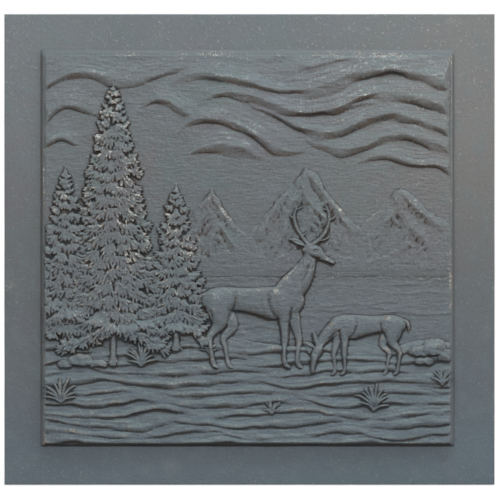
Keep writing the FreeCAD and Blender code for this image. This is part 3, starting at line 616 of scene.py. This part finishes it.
canvases = dict(sky_relief=makeSky(**sky), peak_relief=makePeaks(**peaks), lake_relief=makeLake(**lake),
                bank_relief=makeBank(**bank))
standing = dict(rock_relief=makeRocks(**rocks), **{"fir_" + name: makeFir(**values) for name, values in firs.items()},
                stag_relief=makeDeer(**stag), doe_relief=makeDeer(**doe))
for index, tuft in enumerate(ferns["tufts"]):
    standing["fern_%d" % (index + 1)] = makeTuft(*tuft)
for name, canvas in standing.items():  # what stands on the bank is raised by what it stands on
    under = np.clip(canvases["bank_relief"].at(canvas.gx, canvas.gz), 0, None)
    canvas.height += 0.85 * blurred(under, 2.5 / canvas.step)
    canvases[name] = canvas

print("stage: creases and high places")

# the whole front as one height map, blurred two ways, so that each piece knows its creases and its broadly raised and
# sunk places, which the iron's colour uses for painted shade, painted highlights and wear
ground = Canvas(plateLow[0], plateHigh[0], plateLow[2], plateHigh[2], 1.0)
bevelShare = np.clip(ground.inside(footLeft, footRight, footLow, footHigh) / plate["bevel"], 0, 1)
ground.height = -plate["rise"] * (1 - bevelShare)
for canvas in canvases.values():
    part = ground.area(np.array([(canvas.x[0], canvas.z[0]), (canvas.x[-1], canvas.z[-1])]), 0)
    ground.height[part] = np.maximum(ground.height[part], canvas.at(ground.gx[part], ground.gz[part]))
# each: blur in mm, the height that counts as full, how far above a place it is compared; comparing with a place above
# puts painted shade under forms and painted highlights on their top edges
creases = dict(crease=(blurred(ground.height, 1.3), 0.65, 0.6), broad_relief=(blurred(ground.height, 6.0), 2.8, 2.2))
middleZ = 240

def markCreases(mesh, depth, border):  # attributes that the iron's material reads
    points = np.empty(len(mesh.vertices) * 3)
    mesh.vertices.foreach_get("co", points)
    x, y, z = points.reshape(-1, 3).T / mm
    for name, (grid, scale, above) in creases.items():
        if border and name == "crease":  # the shadow lies outside the panel's foot
            above = np.where(z > middleZ, 0.7, -0.7)
        value = np.clip((faceY - y - ground.at(x, z + above, grid)) / scale, -1, 1)
        value = np.where(y < borderY + 1.5, value, 0.0)
        # depth sets how dark the painted shade in the creases goes
        value = np.where(value < 0, depth * value, value)
        layer = mesh.attributes.new(name, "FLOAT", "POINT")
        layer.data.foreach_set("value", value.astype(np.float32))

# shader maths as expressions

class Shade:  # wraps a socket
    def __init__(self, tree, socket=None):
        self.tree, self.socket = tree, socket

    def node(self, kind, settings=None, inputs=None, output=0):
        made = self.tree.nodes.new(kind)
        for key, value in (settings or {}).items():
            setattr(made, key, value)
        for key, value in (inputs or {}).items():
            if isinstance(value, Shade):
                self.tree.links.new(value.socket, made.inputs[key])
            else:
                made.inputs[key].default_value = value
        return Shade(self.tree, made.outputs[output])

    def maths(self, operation, a, b, clamp=False):
        return self.node("ShaderNodeMath", {"operation": operation, "use_clamp": clamp}, {0: a, 1: b})

    def __add__(self, other): return self.maths("ADD", self, other)
    def __radd__(self, other): return self.maths("ADD", other, self)
    def __sub__(self, other): return self.maths("SUBTRACT", self, other)
    def __rsub__(self, other): return self.maths("SUBTRACT", other, self)
    def __mul__(self, other): return self.maths("MULTIPLY", self, other)
    def __rmul__(self, other): return self.maths("MULTIPLY", other, self)
    def __neg__(self): return self.maths("MULTIPLY", self, -1.0)
    def __pow__(self, exponent): return self.maths("POWER", self, exponent)

    def held(self):  # between 0 and 1
        return self.maths("ADD", self, 0.0, True)

    def between(self, low, high):  # 0 at low, 1 at high, eased
        return self.node("ShaderNodeMapRange", {"interpolation_type": "SMOOTHSTEP"},
                         {"Value": self, "From Min": low, "From Max": high})

    def mix(self, a, b, share):  # colours
        return self.node("ShaderNodeMix", {"data_type": "RGBA"}, {0: share, 6: a, 7: b}, 2)

    def noise(self, scale, detail=3.0, rough=0.55):
        values = {"Vector": self, "Scale": scale, "Detail": detail, "Roughness": rough}
        return self.node("ShaderNodeTexNoise", {}, values)

    def bump(self, height, strength, distance):
        return self.node("ShaderNodeBump", {}, {"Height": height, "Strength": strength, "Distance": distance})

def opaque(colour):
    return (*colour, 1)

def newMaterial(name, **values):  # its shader with these values, and the place on the object
    material = bpy.data.materials.new(name)
    material.use_nodes = True
    tree = material.node_tree
    shader = tree.nodes["Principled BSDF"]
    for key, value in values.items():
        shader.inputs[key.replace("_", " ")].default_value = value
    return material, shader, Shade(tree).node("ShaderNodeTexCoord", output=3)

def feed(shader, **links):
    for key, value in links.items():
        value.tree.links.new(value.socket, shader.inputs[key.replace("_", " ")])

# the iron's colours; some stand partly for light: the pale and cool tints for light from above, under and the
# near-black for painted shade, the bare tint for painted highlights
iron = dict(
    body=(0.138, 0.151, 0.161), violet=(0.147, 0.145, 0.163), moss=(0.126, 0.156, 0.159), cool_tone_and_painted_skylight=(0.142, 0.194, 0.207),
    warm=(0.157, 0.151, 0.155), deep=(0.114, 0.149, 0.179), aged=(0.196, 0.184, 0.176), pale_tone_and_painted_light=(0.205, 0.224, 0.236),
    edge=(0.215, 0.220, 0.218), black_of_shade_and_pits=(0.018, 0.015, 0.012), painted_shade=(0.014, 0.0155, 0.017), under=(0.104, 0.095, 0.085),
    bare_metal_and_highlight=(0.62, 0.58, 0.52), rust=(0.200, 0.100, 0.055), speck=(0.50, 0.51, 0.50), back=(0.060, 0.052, 0.048),
)

def ironMaterial():
    material, shader, place = newMaterial("cast_iron_blackened", Base_Color=opaque(iron["body"]), Roughness=0.5,
                                          Metallic=0.2, Specular_IOR_Level=0.3)
    crease, broad_relief = [place.node("ShaderNodeAttribute", {"attribute_name": name}, output=2) for name in creases]
    normal = place.node("ShaderNodeTexCoord", output=1)
    facing, lifted = [place.node("ShaderNodeSeparateXYZ", {}, {0: normal}, k) for k in (1, 2)]
    sideways, upright = [place.node("ShaderNodeSeparateXYZ", {}, {0: place}, k) for k in (0, 2)]
    drift = place.noise(19.0, 3.0, 0.6)  # tens of mm
    blotch = place.noise(13.0)
    patch = place.noise(70.0, 4.0, 0.6)  # about 10 mm
    spots = place.noise(260.0, 2.0, 0.5)  # about 3 mm
    sparks = place.noise(430.0, 2.0, 0.6)  # about 2 mm
    grain = place.noise(620.0, 3.0, 0.7)  # the sand's grain
    level = place.node("ShaderNodeVectorMath", {"operation": "MULTIPLY"}, {0: place, 1: (0.24, 1.0, 1.0)})
    strokes = level.noise(360.0, 2.0, 0.6)  # the modeller's level strokes, about 3 by 12 mm

    # where on the plate, in m
    rear = facing.between(0.5, 0.9)
    field = (sideways.between(-0.209, -0.205) * (1 - sideways.between(0.201, 0.205)) * upright.between(0.042, 0.046)
             * (1 - upright.between(0.436, 0.440)) * (1 - rear))  # the picture
    low = (0.34 - upright).between(0.0, 0.34)
    aged = sideways.between(0.0, 0.24) * upright.between(0.06, 0.40)
    edges = (1 - field) * (1 - rear) * upright.between(0.03, 0.10) * (1 - upright.between(0.22, 0.38))
    # which way it faces, for painted light on faces that look up and on steep bevels, and painted shade on faces that
    # look down
    litFromAbove = lifted.between(0.10, 0.50) * (1 - lifted.between(0.60, 0.85) * 0.8) * (1 - rear)
    shadedFromBelow = (-lifted).between(0.08, 0.50) * (1 - rear)
    steep = facing.between(-0.78, -0.48) * (1 - facing.between(-0.2, 0.2)) * (1 - shadedFromBelow)
    overhungShade = (-lifted).between(0.50, 0.82) * facing.between(-0.85, -0.60)
    # how deep or high it lies, for rust and painted shade in creases and hollows, and for painted highlights and wear
    # on crests
    shadowed, hollow = (-crease).between(0.03, 0.70), (-broad_relief).between(0.08, 0.9)
    high = crease.between(0.12, 0.70) * (blotch * 0.45 + patch * 0.55).between(0.49, 0.61) * (1 - steep * 0.7)
    rubbedAndHighlit = high * sparks.between(0.46, 0.60) * (0.35 + upright.between(0.08, 0.32) * 0.65)
    speck = (grain * 0.6 + spots * 0.4).between(0.575, 0.655) * blotch.between(0.32, 0.54)

    colour = opaque(iron["body"])
    for name, share in (
        ("warm", blotch.between(0.42, 0.72) * (1 - low) * (1 - upright.between(0.38, 0.46)) * 0.75),
        ("violet", (1 - drift).between(0.50, 0.66) * 0.75),
        ("moss", drift.between(0.47, 0.66) * 0.75),
        ("aged", aged * 0.85),
        ("deep", low * 0.9),
        # painted light: the upper part of the plate and its upper left are lighter
        ("pale_tone_and_painted_light", upright.between(0.26, 0.46) * 0.26
         + (-sideways).between(0.14, 0.24) * upright.between(0.2, 0.45) * 0.2),
        ("under", edges * 0.2),
        # painted light: faces that look up, and broadly raised places, take a lighter cool tint; cool patches of tone
        # besides
        ("cool_tone_and_painted_skylight", patch.between(0.46, 0.72) * 0.35 + broad_relief.between(0.05, 0.7) * 0.15 + litFromAbove * (0.7 + low * 0.3)),
        # painted shade: faces that look down are darker and browner
        ("under", shadedFromBelow * (0.45 + patch.between(0.36, 0.62) * 0.45) * (1 - low * 0.55)),
        # painted light: steep bevels and slopes are lighter, most where they also look up
        ("pale_tone_and_painted_light", steep * (0.55 + litFromAbove ** 0.5 * 0.3 + lifted.between(0.6, 0.8) * 0.4)),
        # painted highlight: convex edges and the top edges of forms are lighter
        ("edge", crease.between(0.10, 0.70) * 0.34),
        # painted shade: steep faces that look down go almost black
        ("black_of_shade_and_pits", overhungShade * 0.88),
        ("pale_tone_and_painted_light", strokes.between(0.54, 0.66) * field * 0.16),
        ("under", (1 - strokes).between(0.56, 0.68) * field * 0.22),
        ("rust", shadowed * 0.44 * patch.between(0.40, 0.60) * (1 - low * 0.5)),
        # painted shade: darkest in the creases under forms, a little in broad hollows
        ("painted_shade", shadowed ** 2.3 * 0.68 + hollow * 0.10),
        ("rust", high * 0.50 * (1 - spots.between(0.38, 0.56))),
        # worn bare metal and painted highlights: bright clusters on crests and the top edges of forms
        ("bare_metal_and_highlight", rubbedAndHighlit * 0.80),
        ("speck", speck * (0.22 + broad_relief.between(0.1, 0.8) * 0.24 + upright.between(0.30, 0.46) * 0.22 + aged * 0.12)),
        ("black_of_shade_and_pits", (1 - grain).between(0.58, 0.72) * 0.40),  # pits
        ("back", rear * (0.52 + patch.between(0.36, 0.70) * 0.22 + spots.between(0.40, 0.64) * 0.14)),
        ("rust", rear * (blotch * 0.55 + patch * 0.25 + spots * 0.20).between(0.50, 0.66) * 0.40),
    ):
        colour = place.mix(colour, opaque(iron[name]), share.held())
    rough = 0.50 + (blotch - 0.5) * 0.25 - rubbedAndHighlit * 0.10 + shadowed * 0.25 + (grain - 0.5) * 0.2 + rear * 0.15
    metal = 0.16 + rubbedAndHighlit * 0.30 - shadowed * 0.16
    height = (grain * (0.7 + field * 0.40) + spots * (0.8 + field * 0.55 + rear * 1.2)
              + patch * (0.8 + field * 0.6 + rear * 2.0) + strokes * field * 2.2)
    feed(shader, Base_Color=colour, Roughness=rough.held(), Metallic=metal.held(),
         Normal=place.bump(height, 0.75, 0.0007))
    return material

steels = dict(
    stud=dict(colour=(0.46, 0.45, 0.42), rough=0.38, tint=(0.62, 0.58, 0.46)),
    washer=dict(colour=(0.34, 0.34, 0.34), rough=0.42, tint=(0.20, 0.19, 0.18)),
    nut=dict(colour=(0.52, 0.52, 0.50), rough=0.34, tint=(0.66, 0.62, 0.50)),
)

def steelMaterial(name, colour, rough, tint):
    material, shader, place = newMaterial(name, Base_Color=opaque(colour), Roughness=rough, Metallic=0.9)
    cloud, grain = place.noise(210.0, 4.0), place.noise(2600.0, 2.0)
    feed(shader, Base_Color=place.mix(opaque(colour), opaque(tint), cloud.between(0.40, 0.65)),
         Roughness=(rough + (cloud - 0.5) * 0.4 + (grain - 0.5) * 0.1).held(), Normal=place.bump(grain, 0.3, 0.0001))
    return material

materials = {"cast_iron": ironMaterial()}
for name, values in steels.items():
    materials[name + "_steel"] = steelMaterial(name + "_steel", **values)

def toMesh(bm, name):
    mesh = bpy.data.meshes.new(name)
    bm.to_mesh(mesh)
    bm.free()
    return mesh

def finish(bm, name, slot, *nodes, depth=0.0, border=False):  # a closed form becomes a piece
    bmesh.ops.recalc_face_normals(bm, faces=bm.faces[:])
    print("  ", name, len(bm.verts), "points", sum(edge.is_boundary for edge in bm.edges), "open")
    mesh = toMesh(bm, name)
    if depth:
        markCreases(mesh, depth, border)
    for face in mesh.polygons:
        face.use_smooth = True
    piece = bpy.data.objects.new(name, mesh)
    bpy.context.collection.objects.link(piece)
    mesh.materials.append(materials[slot])
    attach(piece, "root")
    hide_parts(*nodes)

def openEdges(bm):
    return [edge for edge in bm.edges if edge.is_boundary]

def ofKind(made, kind):
    return [item for item in made if isinstance(item, kind)]

def cutAt(bm, y, outward):  # everything past a plane goes
    bmesh.ops.bisect_plane(bm, geom=bm.verts[:] + bm.edges[:] + bm.faces[:], dist=1e-7, plane_co=(0, y * mm, 0),
                           plane_no=(0, outward, 0), clear_outer=True)

def fillFlat(bm, edges, outward=1):
    bmesh.ops.triangle_fill(bm, use_beauty=False, use_dissolve=False, edges=edges, normal=(0, outward, 0))

def closeUp(bm):  # what a cut has left open
    gaps = openEdges(bm)
    if gaps:
        bmesh.ops.holes_fill(bm, edges=gaps, sides=0)
        gaps = [edge for edge in gaps if edge.is_boundary]
    if gaps:  # a fan to one point, out of sight inside the plate
        tips = ofKind(bmesh.ops.extrude_edge_only(bm, edges=gaps)["geom"], bmesh.types.BMVert)
        middle = sum((tip.co for tip in tips), Vector()) / len(tips)
        bmesh.ops.pointmerge(bm, verts=tips, merge_co=middle)

# how strongly each kind of relief piece takes painted shade in its creases
creaseDepth = dict(sky=0.75, fir=1.35, bank=1.05, peak=1.1)

def reliefPiece(name, canvas, cut=1.3):  # the part of a canvas above a plane just inside the panel
    height = np.maximum(canvas.height, -2 * cut)
    for edge in (np.s_[0, :], np.s_[-1, :], np.s_[:, 0], np.s_[:, -1]):
        height[edge] = -2 * cut
    rows, columns = height.shape
    bm = bmesh.new()
    bmesh.ops.create_grid(bm, x_segments=columns - 1, y_segments=rows - 1, size=0.5)
    for vert, x, out, z in zip(bm.verts, *[grid.ravel().tolist() for grid in (canvas.gx, height, canvas.gz)]):
        vert.co = (x * mm, (faceY - out) * mm, z * mm)
    cutAt(bm, faceY + cut, 1)
    fillFlat(bm, openEdges(bm))
    closeUp(bm)
    finish(bm, name, "cast_iron", "fireplace_plate", depth=creaseDepth.get(name.split("_")[0], 1.0))

print("stage: relief pieces")
for name, canvas in canvases.items():
    reliefPiece(name, canvas)

# the raised panel and the border grow out of grids, ring by ring
panel = dict(cell=2.6, fine=(0.5, 0.7, 1.0, 1.6), sink=1.4, recess=1.1, shelf=1.1, arris=1.4, corner=0.6, waver=0.2,
             reach=14)
border = dict(cell=2.4, fine=(0.35, 0.45, 0.6, 0.9), waver=0.18, arris=1.1, corner=0.9, backRound=0.6)

def gridAt(bm, limits, y, cell, fine):  # its cells get finer towards the edges
    ends = np.cumsum((0.0, *fine))
    steps = []
    for low, high in (limits[:2], limits[2:]):
        middle = np.linspace(low + ends[-1], high - ends[-1], int((high - low - 2 * ends[-1]) / cell) + 1)
        steps.append([*(low + ends[:-1]), *middle, *(high - ends[:-1][::-1])])
    columns, rows = [len(row) - 1 for row in steps]
    made = bmesh.ops.create_grid(bm, x_segments=columns, y_segments=rows, size=0.5)["verts"]
    for vert in made:
        x, z = steps[0][int(round((vert.co.x + 0.5) * columns))], steps[1][int(round((vert.co.y + 0.5) * rows))]
        vert.co = (x * mm, y * mm, z * mm)
    return made

def grown(limits, offset):
    return [limit + side * offset for limit, side in zip(limits, (-1, 1, -1, 1))]

def growRings(bm, profile, limits):  # profile: how far out of the grid's rim, and y
    rim, done = openEdges(bm), 0.0
    for offset, y in profile:
        made = bmesh.ops.extrude_edge_only(bm, edges=rim)["geom"]
        left, right, low, high = grown(limits, done)
        for vert in ofKind(made, bmesh.types.BMVert):
            x, z = vert.co.x / mm, vert.co.z / mm
            sideX = float(x > right - 0.01) - float(x < left + 0.01)
            sideZ = float(z > high - 0.01) - float(z < low + 0.01)
            vert.co = ((x + sideX * (offset - done)) * mm, y * mm, (z + sideZ * (offset - done)) * mm)
        rim, done = ofKind(made, bmesh.types.BMEdge), offset
    return rim

def roundCorners(bm, limits, radius):  # the four upright corners of what stands outside the limits
    left, right, low, high = limits
    for vert in bm.verts:
        x, z = vert.co.x / mm, vert.co.z / mm
        cx = min(max(x, left + radius), right - radius)
        cz = min(max(z, low + radius), high - radius)
        dx, dz = x - cx, z - cz
        if dx and dz:
            keep = max(abs(dx), abs(dz)) / math.hypot(dx, dz)
            vert.co.x, vert.co.z = (cx + dx * keep) * mm, (cz + dz * keep) * mm

def sway(bm, amount, seed, edgewise=0.6):  # a hand-made pattern is nowhere quite flat or straight
    points = np.array([vert.co for vert in bm.verts]) / mm
    moves = [amount * roughness(points[:, 0] + k * points[:, 1], points[:, 2], size, seed + 10 * k)
             for k, size in enumerate((48, 37, 41))]
    for vert, dx, dy, dz in zip(bm.verts, *[move.tolist() for move in moves]):
        vert.co += Vector((dx * edgewise, dy, dz * edgewise)) * mm

def makePanel(cell, fine, sink, recess, shelf, arris, corner, waver, reach):
    strip = plate["rim"] + shelf
    run, rise = plate["bevel"], plate["rise"]
    limits = (footLeft + run + strip, footRight - run - strip, footLow + run + strip, footHigh - run - strip)
    bm = bmesh.new()
    gridAt(bm, limits, faceY + recess, cell, fine)
    profile = [(0.05, faceY + 0.4), (0.35, faceY + 0.04), (strip * 0.45, faceY - 0.02)]
    for t in (0, 0.25, 0.5, 0.75, 1):  # the arris, from flat to the slope
        profile.append((strip - arris * 0.5 * (1 - t) + t * run * 0.16, faceY + rise * 0.17 * t ** 1.8))
    profile += [(strip + run * share, faceY + rise * share) for share in (0.36, 0.58, 0.80, 0.93)]
    profile += [(strip + run * 1.02, borderY - 0.12), (strip + run * 1.10, borderY + 0.35),
                (strip + run * 1.14, borderY + sink)]
    fillFlat(bm, growRings(bm, profile, limits))
    roundCorners(bm, grown(limits, profile[-1][0]), corner)
    foot = plate["lowFoot"]
    for vert in bm.verts:  # the upper bevel is the widest, the lower one the steepest
        x, z = vert.co.x / mm, vert.co.z / mm
        for start, side in ((footLeft, 1), (footRight, -1)):
            inward = (x - start) * side
            if inward < reach:
                inward = float(np.interp(inward, (-1, 0, run, reach), (-1, 0, plate["sideBevel"], reach)))
                vert.co.x = (start + side * inward) * mm
        if z - footLow < reach:
            upward = np.interp(z - footLow, (-1, 0, run, reach), (foot - 1, foot, plate["lowBevel"], reach))
            vert.co.z = (footLow + float(upward)) * mm
    sway(bm, waver, 400)
    finish(bm, "raised_panel", "cast_iron", "fireplace_plate", depth=0.6)

def makeBorder(cell, fine, waver, arris, corner, backRound):
    inset = plate["draft"] + arris
    outer = (plateLow[0], plateHigh[0], plateLow[2], plateHigh[2])
    limits = grown(outer, -inset)
    bm = bmesh.new()
    gridAt(bm, limits, borderY, cell, fine)
    turns = [k / 5 * math.pi / 2 for k in range(1, 6)]
    profile = [(arris * math.sin(turn), borderY + arris * (1 - math.cos(turn))) for turn in turns]  # the front arris
    profile += [(arris + plate["draft"] * share, borderY + arris + share * (plate["thickness"] - arris))
                for share in (0.3, 0.6, 0.85)]  # the drafted edge
    profile += [(inset, backY - backRound), (inset - backRound * 0.3, backY - backRound * 0.3)]
    rim = growRings(bm, profile, limits)
    back = set(gridAt(bm, limits, backY, cell, fine))
    rim += [edge for edge in openEdges(bm) if edge.verts[0] in back]
    bmesh.ops.bridge_loops(bm, edges=rim)
    roundCorners(bm, outer, corner)
    sway(bm, waver, 430)
    for vert in bm.verts:  # the edges keep inside the plate's size
        vert.co.x = min(max(vert.co.x, plateLow[0] * mm), plateHigh[0] * mm)
        vert.co.z = min(max(vert.co.z, plateLow[2] * mm), plateHigh[2] * mm)
    finish(bm, "surround_plate", "cast_iron", "fireplace_plate", depth=0.4, border=True)

print("stage: panel and border")
makePanel(**panel)
makeBorder(**border)

# the fixings behind the plate; every turned piece is a profile of radius and y, spun round its stud
studX, studLow, studHigh = 180.0, 70.0, 410.0
centres = [(side * studX, z) for z in (studLow, studHigh) for side in (-1, 1)]
boss = dict(foot=18.0, top=15.0, high=10.5, hole=5.3, chamfer=0.8, arris=1.2, fillet=2.0, sunken=2.5)
# each thread: from, to, radius, pitch, depth, and where the flank starts and the crest starts and ends
threads = [(-0.5, 36.5, 5.0, 1.5, 0.61, (0.30, 0.44, 0.56)), (36.5, 76.5, 4.5, 3.2, 1.15, (0.34, 0.47, 0.53))]
washer = dict(low=10.55, high=12.75, inner=5.3, outer=9.0, split=2.0, chamfer=0.35)
nuts = dict(flat=8.0, bore=5.05, lead=0.7, thin=(12.8, 17.8), standoff=(24.5, 34.5), flange=2.8, flangeRadius=10.9)

def lineProfile(bm, profile):  # an open or closed row of points from radius and y
    places = [(radius * mm, y * mm, 0) for radius, y in profile]
    row, edges = bmesh.ops.create_vert(bm, co=places[0])["vert"], []
    for place in places[1:]:
        made = bmesh.ops.extrude_vert_indiv(bm, verts=[row[-1]])
        made["verts"][0].co = place
        row += made["verts"]
        edges += made["edges"]
    return row + edges

def shiftTo(bm, centre):
    for vert in bm.verts:
        vert.co.x += centre[0] * mm
        vert.co.z += centre[1] * mm

def spunPiece(name, profile, centre, slot, node, steps=72, shape=None, gap=0.0):
    bm = bmesh.new()
    bmesh.ops.spin(bm, geom=lineProfile(bm, profile), cent=(0, 0, 0), axis=(0, 1, 0), dvec=(0, 0, 0),
                   angle=2 * math.pi - gap, steps=steps, use_merge=not gap, use_duplicate=False)
    bmesh.ops.remove_doubles(bm, verts=bm.verts[:], dist=1e-6)
    if gap:
        bmesh.ops.holes_fill(bm, edges=openEdges(bm), sides=0)
    for vert in bm.verts if shape else ():
        radius = math.hypot(vert.co.x, vert.co.z) / mm
        if radius > 1e-3:
            vert.co.x, vert.co.z = [c * shape(radius, vert.co.y / mm, math.atan2(vert.co.z, vert.co.x)) / radius
                                    for c in (vert.co.x, vert.co.z)]
    shiftTo(bm, centre)
    finish(bm, name, slot, node)

def makeBoss(name, centre, foot, top, high, hole, chamfer, arris, fillet, sunken):
    profile = [(foot + fillet + 0.3, backY - sunken), (foot + fillet, backY - 0.15)]
    for turn in [k / 4 * math.radians(64) for k in range(1, 5)]:  # the fillet at the foot
        profile.append((foot + fillet * (1 - math.sin(turn)) * 0.95, backY + fillet * 0.95 * (1 - math.cos(turn))))
    for turn in [k / 4 * math.pi / 2 for k in range(5)]:  # the round at the top
        profile.append((top - arris + arris * math.cos(turn) + 0.2, high - arris + arris * math.sin(turn)))
    profile += [(hole + chamfer, high), (hole, high - chamfer), (hole, backY - sunken), profile[0]]
    spunPiece(name, profile, centre, "cast_iron", "fireplace_plate", 64,
              lambda r, y, a: r * (1 + 0.006 * math.sin(2 * a + centre[0]) * (r > 8)))

def makeStud(name, centre, steps=24):
    bm = bmesh.new()
    for low, high, radius, pitch, depth, (flank, crest, crestEnd) in threads:
        piece = bmesh.new()
        turns = int((high - low) / pitch) + 3
        root = radius - depth
        profile = [(root, 0.0), (root, flank * pitch * 0.5), (radius, crest * pitch), (radius, crestEnd * pitch),
                   (root, pitch * (1 - flank * 0.5)), (root, pitch)]
        row = lineProfile(piece, [(r, y + low - 1.5 * pitch) for r, y in profile])
        bmesh.ops.spin(piece, geom=row, cent=(0, 0, 0), axis=(0, 1, 0), angle=-2 * math.pi * turns,
                       dvec=(0, pitch * mm / steps, 0), steps=steps * turns, use_merge=False, use_duplicate=False)
        bmesh.ops.remove_doubles(piece, verts=piece.verts[:], dist=2e-6)
        for y, outward in ((low, -1), (high, 1)):
            cutAt(piece, y, outward)
            rim = [edge for edge in piece.edges if all(abs(v.co.y - y * mm) < 1e-6 for v in edge.verts)]
            fillFlat(piece, rim, outward)
        closeUp(piece)
        for vert in piece.verts:  # both ends are tapered
            now = math.hypot(vert.co.x, vert.co.z)
            most = (radius - 1.3) * mm + max(min(vert.co.y - low * mm, high * mm - vert.co.y), 0) * 0.9
            if now > most:
                vert.co.x, vert.co.z = vert.co.x * most / now, vert.co.z * most / now
        scrap = toMesh(piece, "thread")
        bm.from_mesh(scrap)
        bpy.data.meshes.remove(scrap)
    shiftTo(bm, centre)
    finish(bm, name, "stud_steel", "wall_studs")

def makeWasher(name, centre, low, high, inner, outer, split, chamfer):  # a spring washer, split
    c = chamfer
    profile = [(inner, low + c), (inner + c, low), (outer - c, low), (outer, low + c), (outer, high - c),
               (outer - c, high), (inner + c, high), (inner, high - c), (inner, low + c)]
    spunPiece(name, profile, centre, "washer_steel", "lock_washers", gap=split / outer)

def makeNut(name, centre, node, low, hexHigh, turn, flangeHigh=None):  # profile: from the bore out, up and back
    bore, flat, lead = nuts["bore"], nuts["flat"], nuts["lead"]
    corner, sector = flat / math.cos(math.pi / 6), math.pi / 3
    slope = [(flat - 0.35 + 0.4 * k, 0.24 * k) for k in range(4)]  # the chamfer of the hexagon's corners
    profile = [(bore, low + lead), (bore + lead, low), *[(r, low + y) for r, y in slope], (corner, low + 1.0)]
    if flangeHigh:
        r = nuts["flangeRadius"]
        profile += [(corner, hexHigh - 0.4), (corner + 0.1, hexHigh), (r - 0.5, hexHigh + 1.0), (r, hexHigh + 1.4),
                    (r, flangeHigh - 0.3), (r - 0.3, flangeHigh)]
    else:
        profile += [(corner, hexHigh - 1.0), *[(r, hexHigh - y) for r, y in slope[::-1]]]
    top = flangeHigh or hexHigh
    profile += [(bore + lead, top), (bore, top - lead), profile[0]]

    def hexagon(radius, y, angle):
        if radius <= 6 or flangeHigh and y >= hexHigh - 0.2:
            return radius
        return min(radius, flat / math.cos((angle + turn + sector / 2) % sector - sector / 2))

    spunPiece(name, profile, centre, "nut_steel", node, shape=hexagon)

print("stage: fixings")
for index, centre in enumerate(centres):
    tag = "_%d" % (index + 1)
    makeBoss("wall_boss" + tag, centre, **boss)
    makeStud("wall_stud" + tag, centre)
    makeWasher("lock_washer" + tag, centre, **washer)
    makeNut("jam_nut" + tag, centre, "jam_nuts", *nuts["thin"], 0.2 + 0.31 * index)
    low, high = nuts["standoff"]
    makeNut("standoff_nut" + tag, centre, "standoff_nuts", low, high - nuts["flange"], 0.1 + 0.4 * index, high)

print("stage: floor, light and camera")
floor = dict(size=6.0, glow=0.72, seen=0.62, bounced=0.40, far=(0.35, 1.0), gap=0.0005)
view = dict(distance=2.4, width=506.1, centreX=-1.0, centreZ=241.0, sensor=36.0)
dim, white = (0.15, 0.15, 0.153, 1), (1, 1, 1, 1)
lamps = [  # name, place, target, size, power, colour
    ("top_lamp", (0.22, -0.62, 1.38), (0, 0, 0.25), (1.2, 0.4), 10.8, (0.86, 0.96, 1.0)),
    ("front_lamp", (-0.15, -2.7, 1.0), (0, 0, 0.22), (1.5, 1.1), 16.5, (1.0, 0.99, 0.98)),
    ("side_lamp", (1.8, -1.0, 0.8), (0, 0, 0.25), (0.8, 0.8), 6.0, (1.0, 0.98, 0.95)),
    ("low_lamp", (-0.3, -0.9, 0.06), (0, 0, 0.25), (1.2, 0.08), 1.1, (1.0, 0.80, 0.64)),
    ("back_lamp", (0.9, 1.6, 1.2), (0, 0, 0.25), (1.2, 1.2), 18.0, (1.0, 1.0, 1.0)),
]

def looking(start):  # camera, gloss and glass see the white studio; the light on things is dimmer
    rays = start.node("ShaderNodeLightPath").socket.node
    camera, glossy, clear = [Shade(start.tree, rays.outputs[ray])
                             for ray in ("Is Camera Ray", "Is Glossy Ray", "Is Transmission Ray")]
    return (camera + glossy + clear).held()

def stageMaterial(name, glow, seen, bounced, far):  # white to the camera but for shadows, sending little light up
    material, shader, place = newMaterial(name, Base_Color=(bounced, bounced, bounced, 1), Roughness=0.9)
    away = place.node("ShaderNodeVectorMath", {"operation": "LENGTH"}, {0: place}, 1)
    pale = place.node("ShaderNodeBsdfDiffuse", {}, {"Color": (seen, seen, seen, 1)})
    soft, bright = [place.node("ShaderNodeEmission", {}, {"Color": white, "Strength": power}) for power in (glow, 1.0)]
    shaded = place.node("ShaderNodeAddShader", {}, {0: pale, 1: soft})
    shown = place.node("ShaderNodeMixShader", {}, {0: away.between(*far), 1: shaded, 2: bright})
    both = place.node("ShaderNodeMixShader", {}, {0: looking(place), 1: Shade(place.tree, shader.outputs[0]), 2: shown})
    place.tree.links.new(both.socket, place.tree.nodes["Material Output"].inputs["Surface"])
    return material

def makeFloor(size, gap, **look):
    bm = bmesh.new()
    bmesh.ops.create_grid(bm, x_segments=1, y_segments=1, size=size)
    mesh = toMesh(bm, "floor")
    mesh.materials.append(stageMaterial("pale_floor", **look))
    ground = bpy.data.objects.new("floor", mesh)
    ground.location = (0, 0, plateLow[2] * mm - gap)
    bpy.context.collection.objects.link(ground)

def aimed(obj, place, target):
    obj.location = place
    obj.rotation_euler = (Vector(target) - Vector(place)).to_track_quat("-Z", "Y").to_euler()
    bpy.context.collection.objects.link(obj)

def makeLamp(name, place, target, size, power, colour):
    lamp = bpy.data.lights.new(name, "AREA")
    lamp.shape, lamp.size, lamp.size_y = "RECTANGLE", size[0], size[1]
    lamp.energy, lamp.color = power, colour
    holder = bpy.data.objects.new(name, lamp)
    holder.visible_camera = False
    aimed(holder, place, target)

makeFloor(**floor)
for values in lamps:
    makeLamp(*values)
camera = bpy.data.objects.new("camera", bpy.data.cameras.new("camera"))
camera.data.sensor_width = view["sensor"]
camera.data.lens = view["sensor"] * view["distance"] / (view["width"] * mm)
target = (view["centreX"] * mm, 0, view["centreZ"] * mm)
aimed(camera, (target[0], -view["distance"], target[2]), target)
bpy.context.scene.camera = camera

world = bpy.data.worlds.new("studio")
bpy.context.scene.world = world
world.use_nodes = True
studio = Shade(world.node_tree)
light = studio.mix(dim, white, looking(studio))
studio.tree.links.new(light.socket, studio.tree.nodes["Background"].inputs["Color"])
bpy.context.scene.view_settings.view_transform = "Standard"
